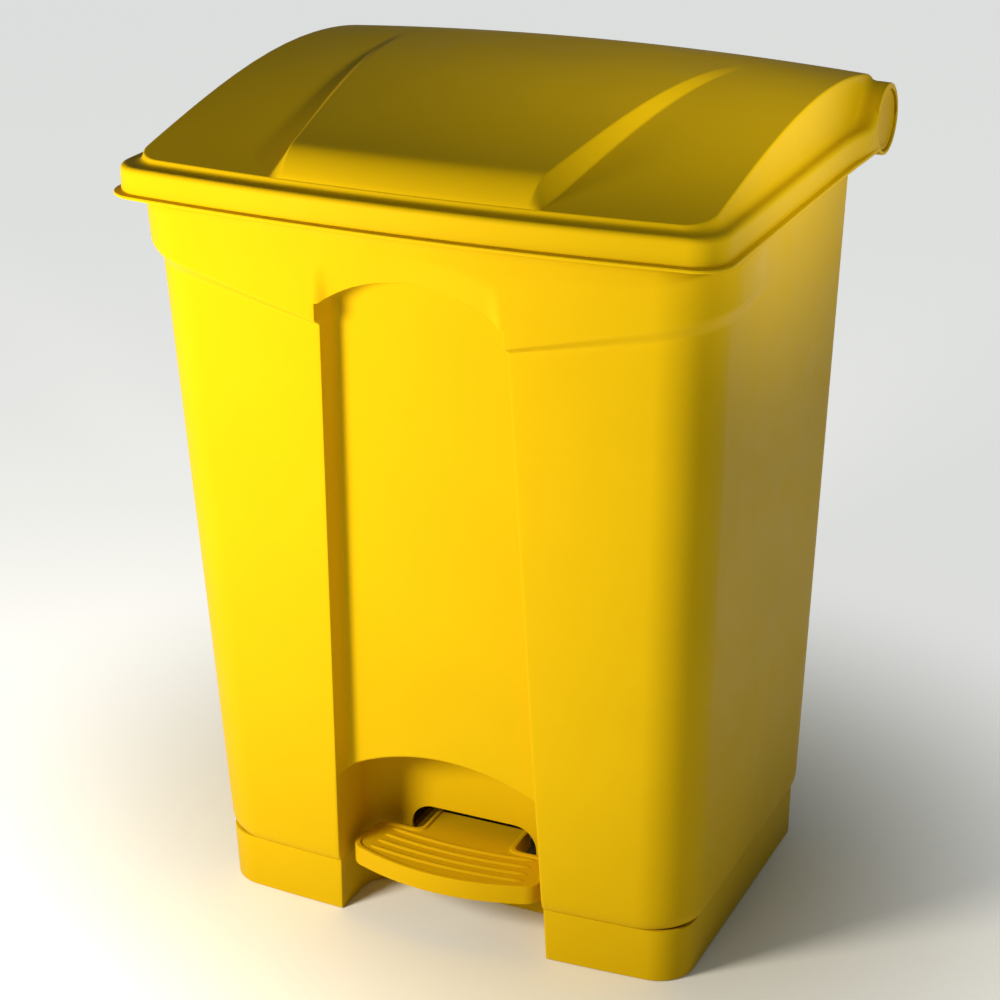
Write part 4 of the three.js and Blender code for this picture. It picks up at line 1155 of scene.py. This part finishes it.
camera_data = bpy.data.cameras.new("camera")
camera_data.lens = CAMERA_LENS
camera_data.sensor_width = 36
camera = bpy.data.objects.new("camera", camera_data)
camera.matrix_world = turned_camera(CAMERA_AZIMUTH, CAMERA_ELEVATION, CAMERA_ROLL)
bpy.context.scene.collection.objects.link(camera)
bpy.context.scene.camera = camera


def aim(obj, place, target):
    obj.location = place
    obj.rotation_euler = (Vector(target) - Vector(place)).to_track_quat("-Z", "Y").to_euler()
    bpy.context.scene.collection.objects.link(obj)


def area_light(name, place, target, size, power, colour):
    data = bpy.data.lights.new(name, "AREA")
    data.shape, data.size, data.energy, data.color = "DISK", size, power, colour
    aim(bpy.data.objects.new(name, data), place, target)


def spot_light(name, place, target, angle, blend, power, colour):
    data = bpy.data.lights.new(name, "SPOT")
    data.spot_size, data.spot_blend = math.radians(angle), blend
    data.energy, data.color, data.shadow_soft_size = power, colour, SPOT_RADIUS
    aim(bpy.data.objects.new(name, data), place, target)


area_light("key", (-0.46, -0.86, 0.56), (-0.17, -0.15, 0.42), 0.3, 12.5, (1.0, 0.92, 0.75))
spot_light("lid light", (1.25, -0.45, 1.1), (0.17, 0.01, 0.72), 20, 0.75, 88, (1.0, 0.96, 0.8))

world = bpy.data.worlds.new("studio")
world.use_nodes = True
world.node_tree.nodes["Background"].inputs["Color"].default_value = WORLD_COLOUR
world.node_tree.nodes["Background"].inputs["Strength"].default_value = WORLD_STRENGTH
bpy.context.scene.world = world
bpy.context.scene.view_settings.view_transform = "Standard"

floor_mesh = bpy.data.meshes.new("floor")
bm = bmesh.new()
bmesh.ops.create_circle(bm, cap_ends=True, radius=FLOOR_RADIUS, segments=96)
bm.to_mesh(floor_mesh)
bm.free()
floor = bpy.data.objects.new("floor", floor_mesh)
floor.location.z = -FLOOR_DROP
bpy.context.scene.collection.objects.link(floor)
material, tree, shader, place = node_material("pale glowing floor with painted shade")
shader.inputs["Base Color"].default_value = FLOOR_COLOUR
shader.inputs["Roughness"].default_value = FLOOR_ROUGHNESS
shader.inputs["Emission Color"].default_value = (1, 1, 1, 1)
# painted shade: the floor's glow grows with distance from the bin's middle, so the floor is painted darker
# round and under the bin
length = tree.nodes.new("ShaderNodeVectorMath")
length.operation = "LENGTH"
tree.links.new(place, length.inputs[0])
glow = tree.nodes.new("ShaderNodeMapRange")
glow.interpolation_type = "SMOOTHSTEP"
glow.inputs["From Min"].default_value = GLOW_FROM
glow.inputs["From Max"].default_value = GLOW_TO
glow.inputs["To Min"].default_value = 0.0
glow.inputs["To Max"].default_value = GLOW_STRENGTH
tree.links.new(length.outputs["Value"], glow.inputs["Value"])
tree.links.new(glow.outputs["Result"], shader.inputs["Emission Strength"])
floor_mesh.materials.append(material)
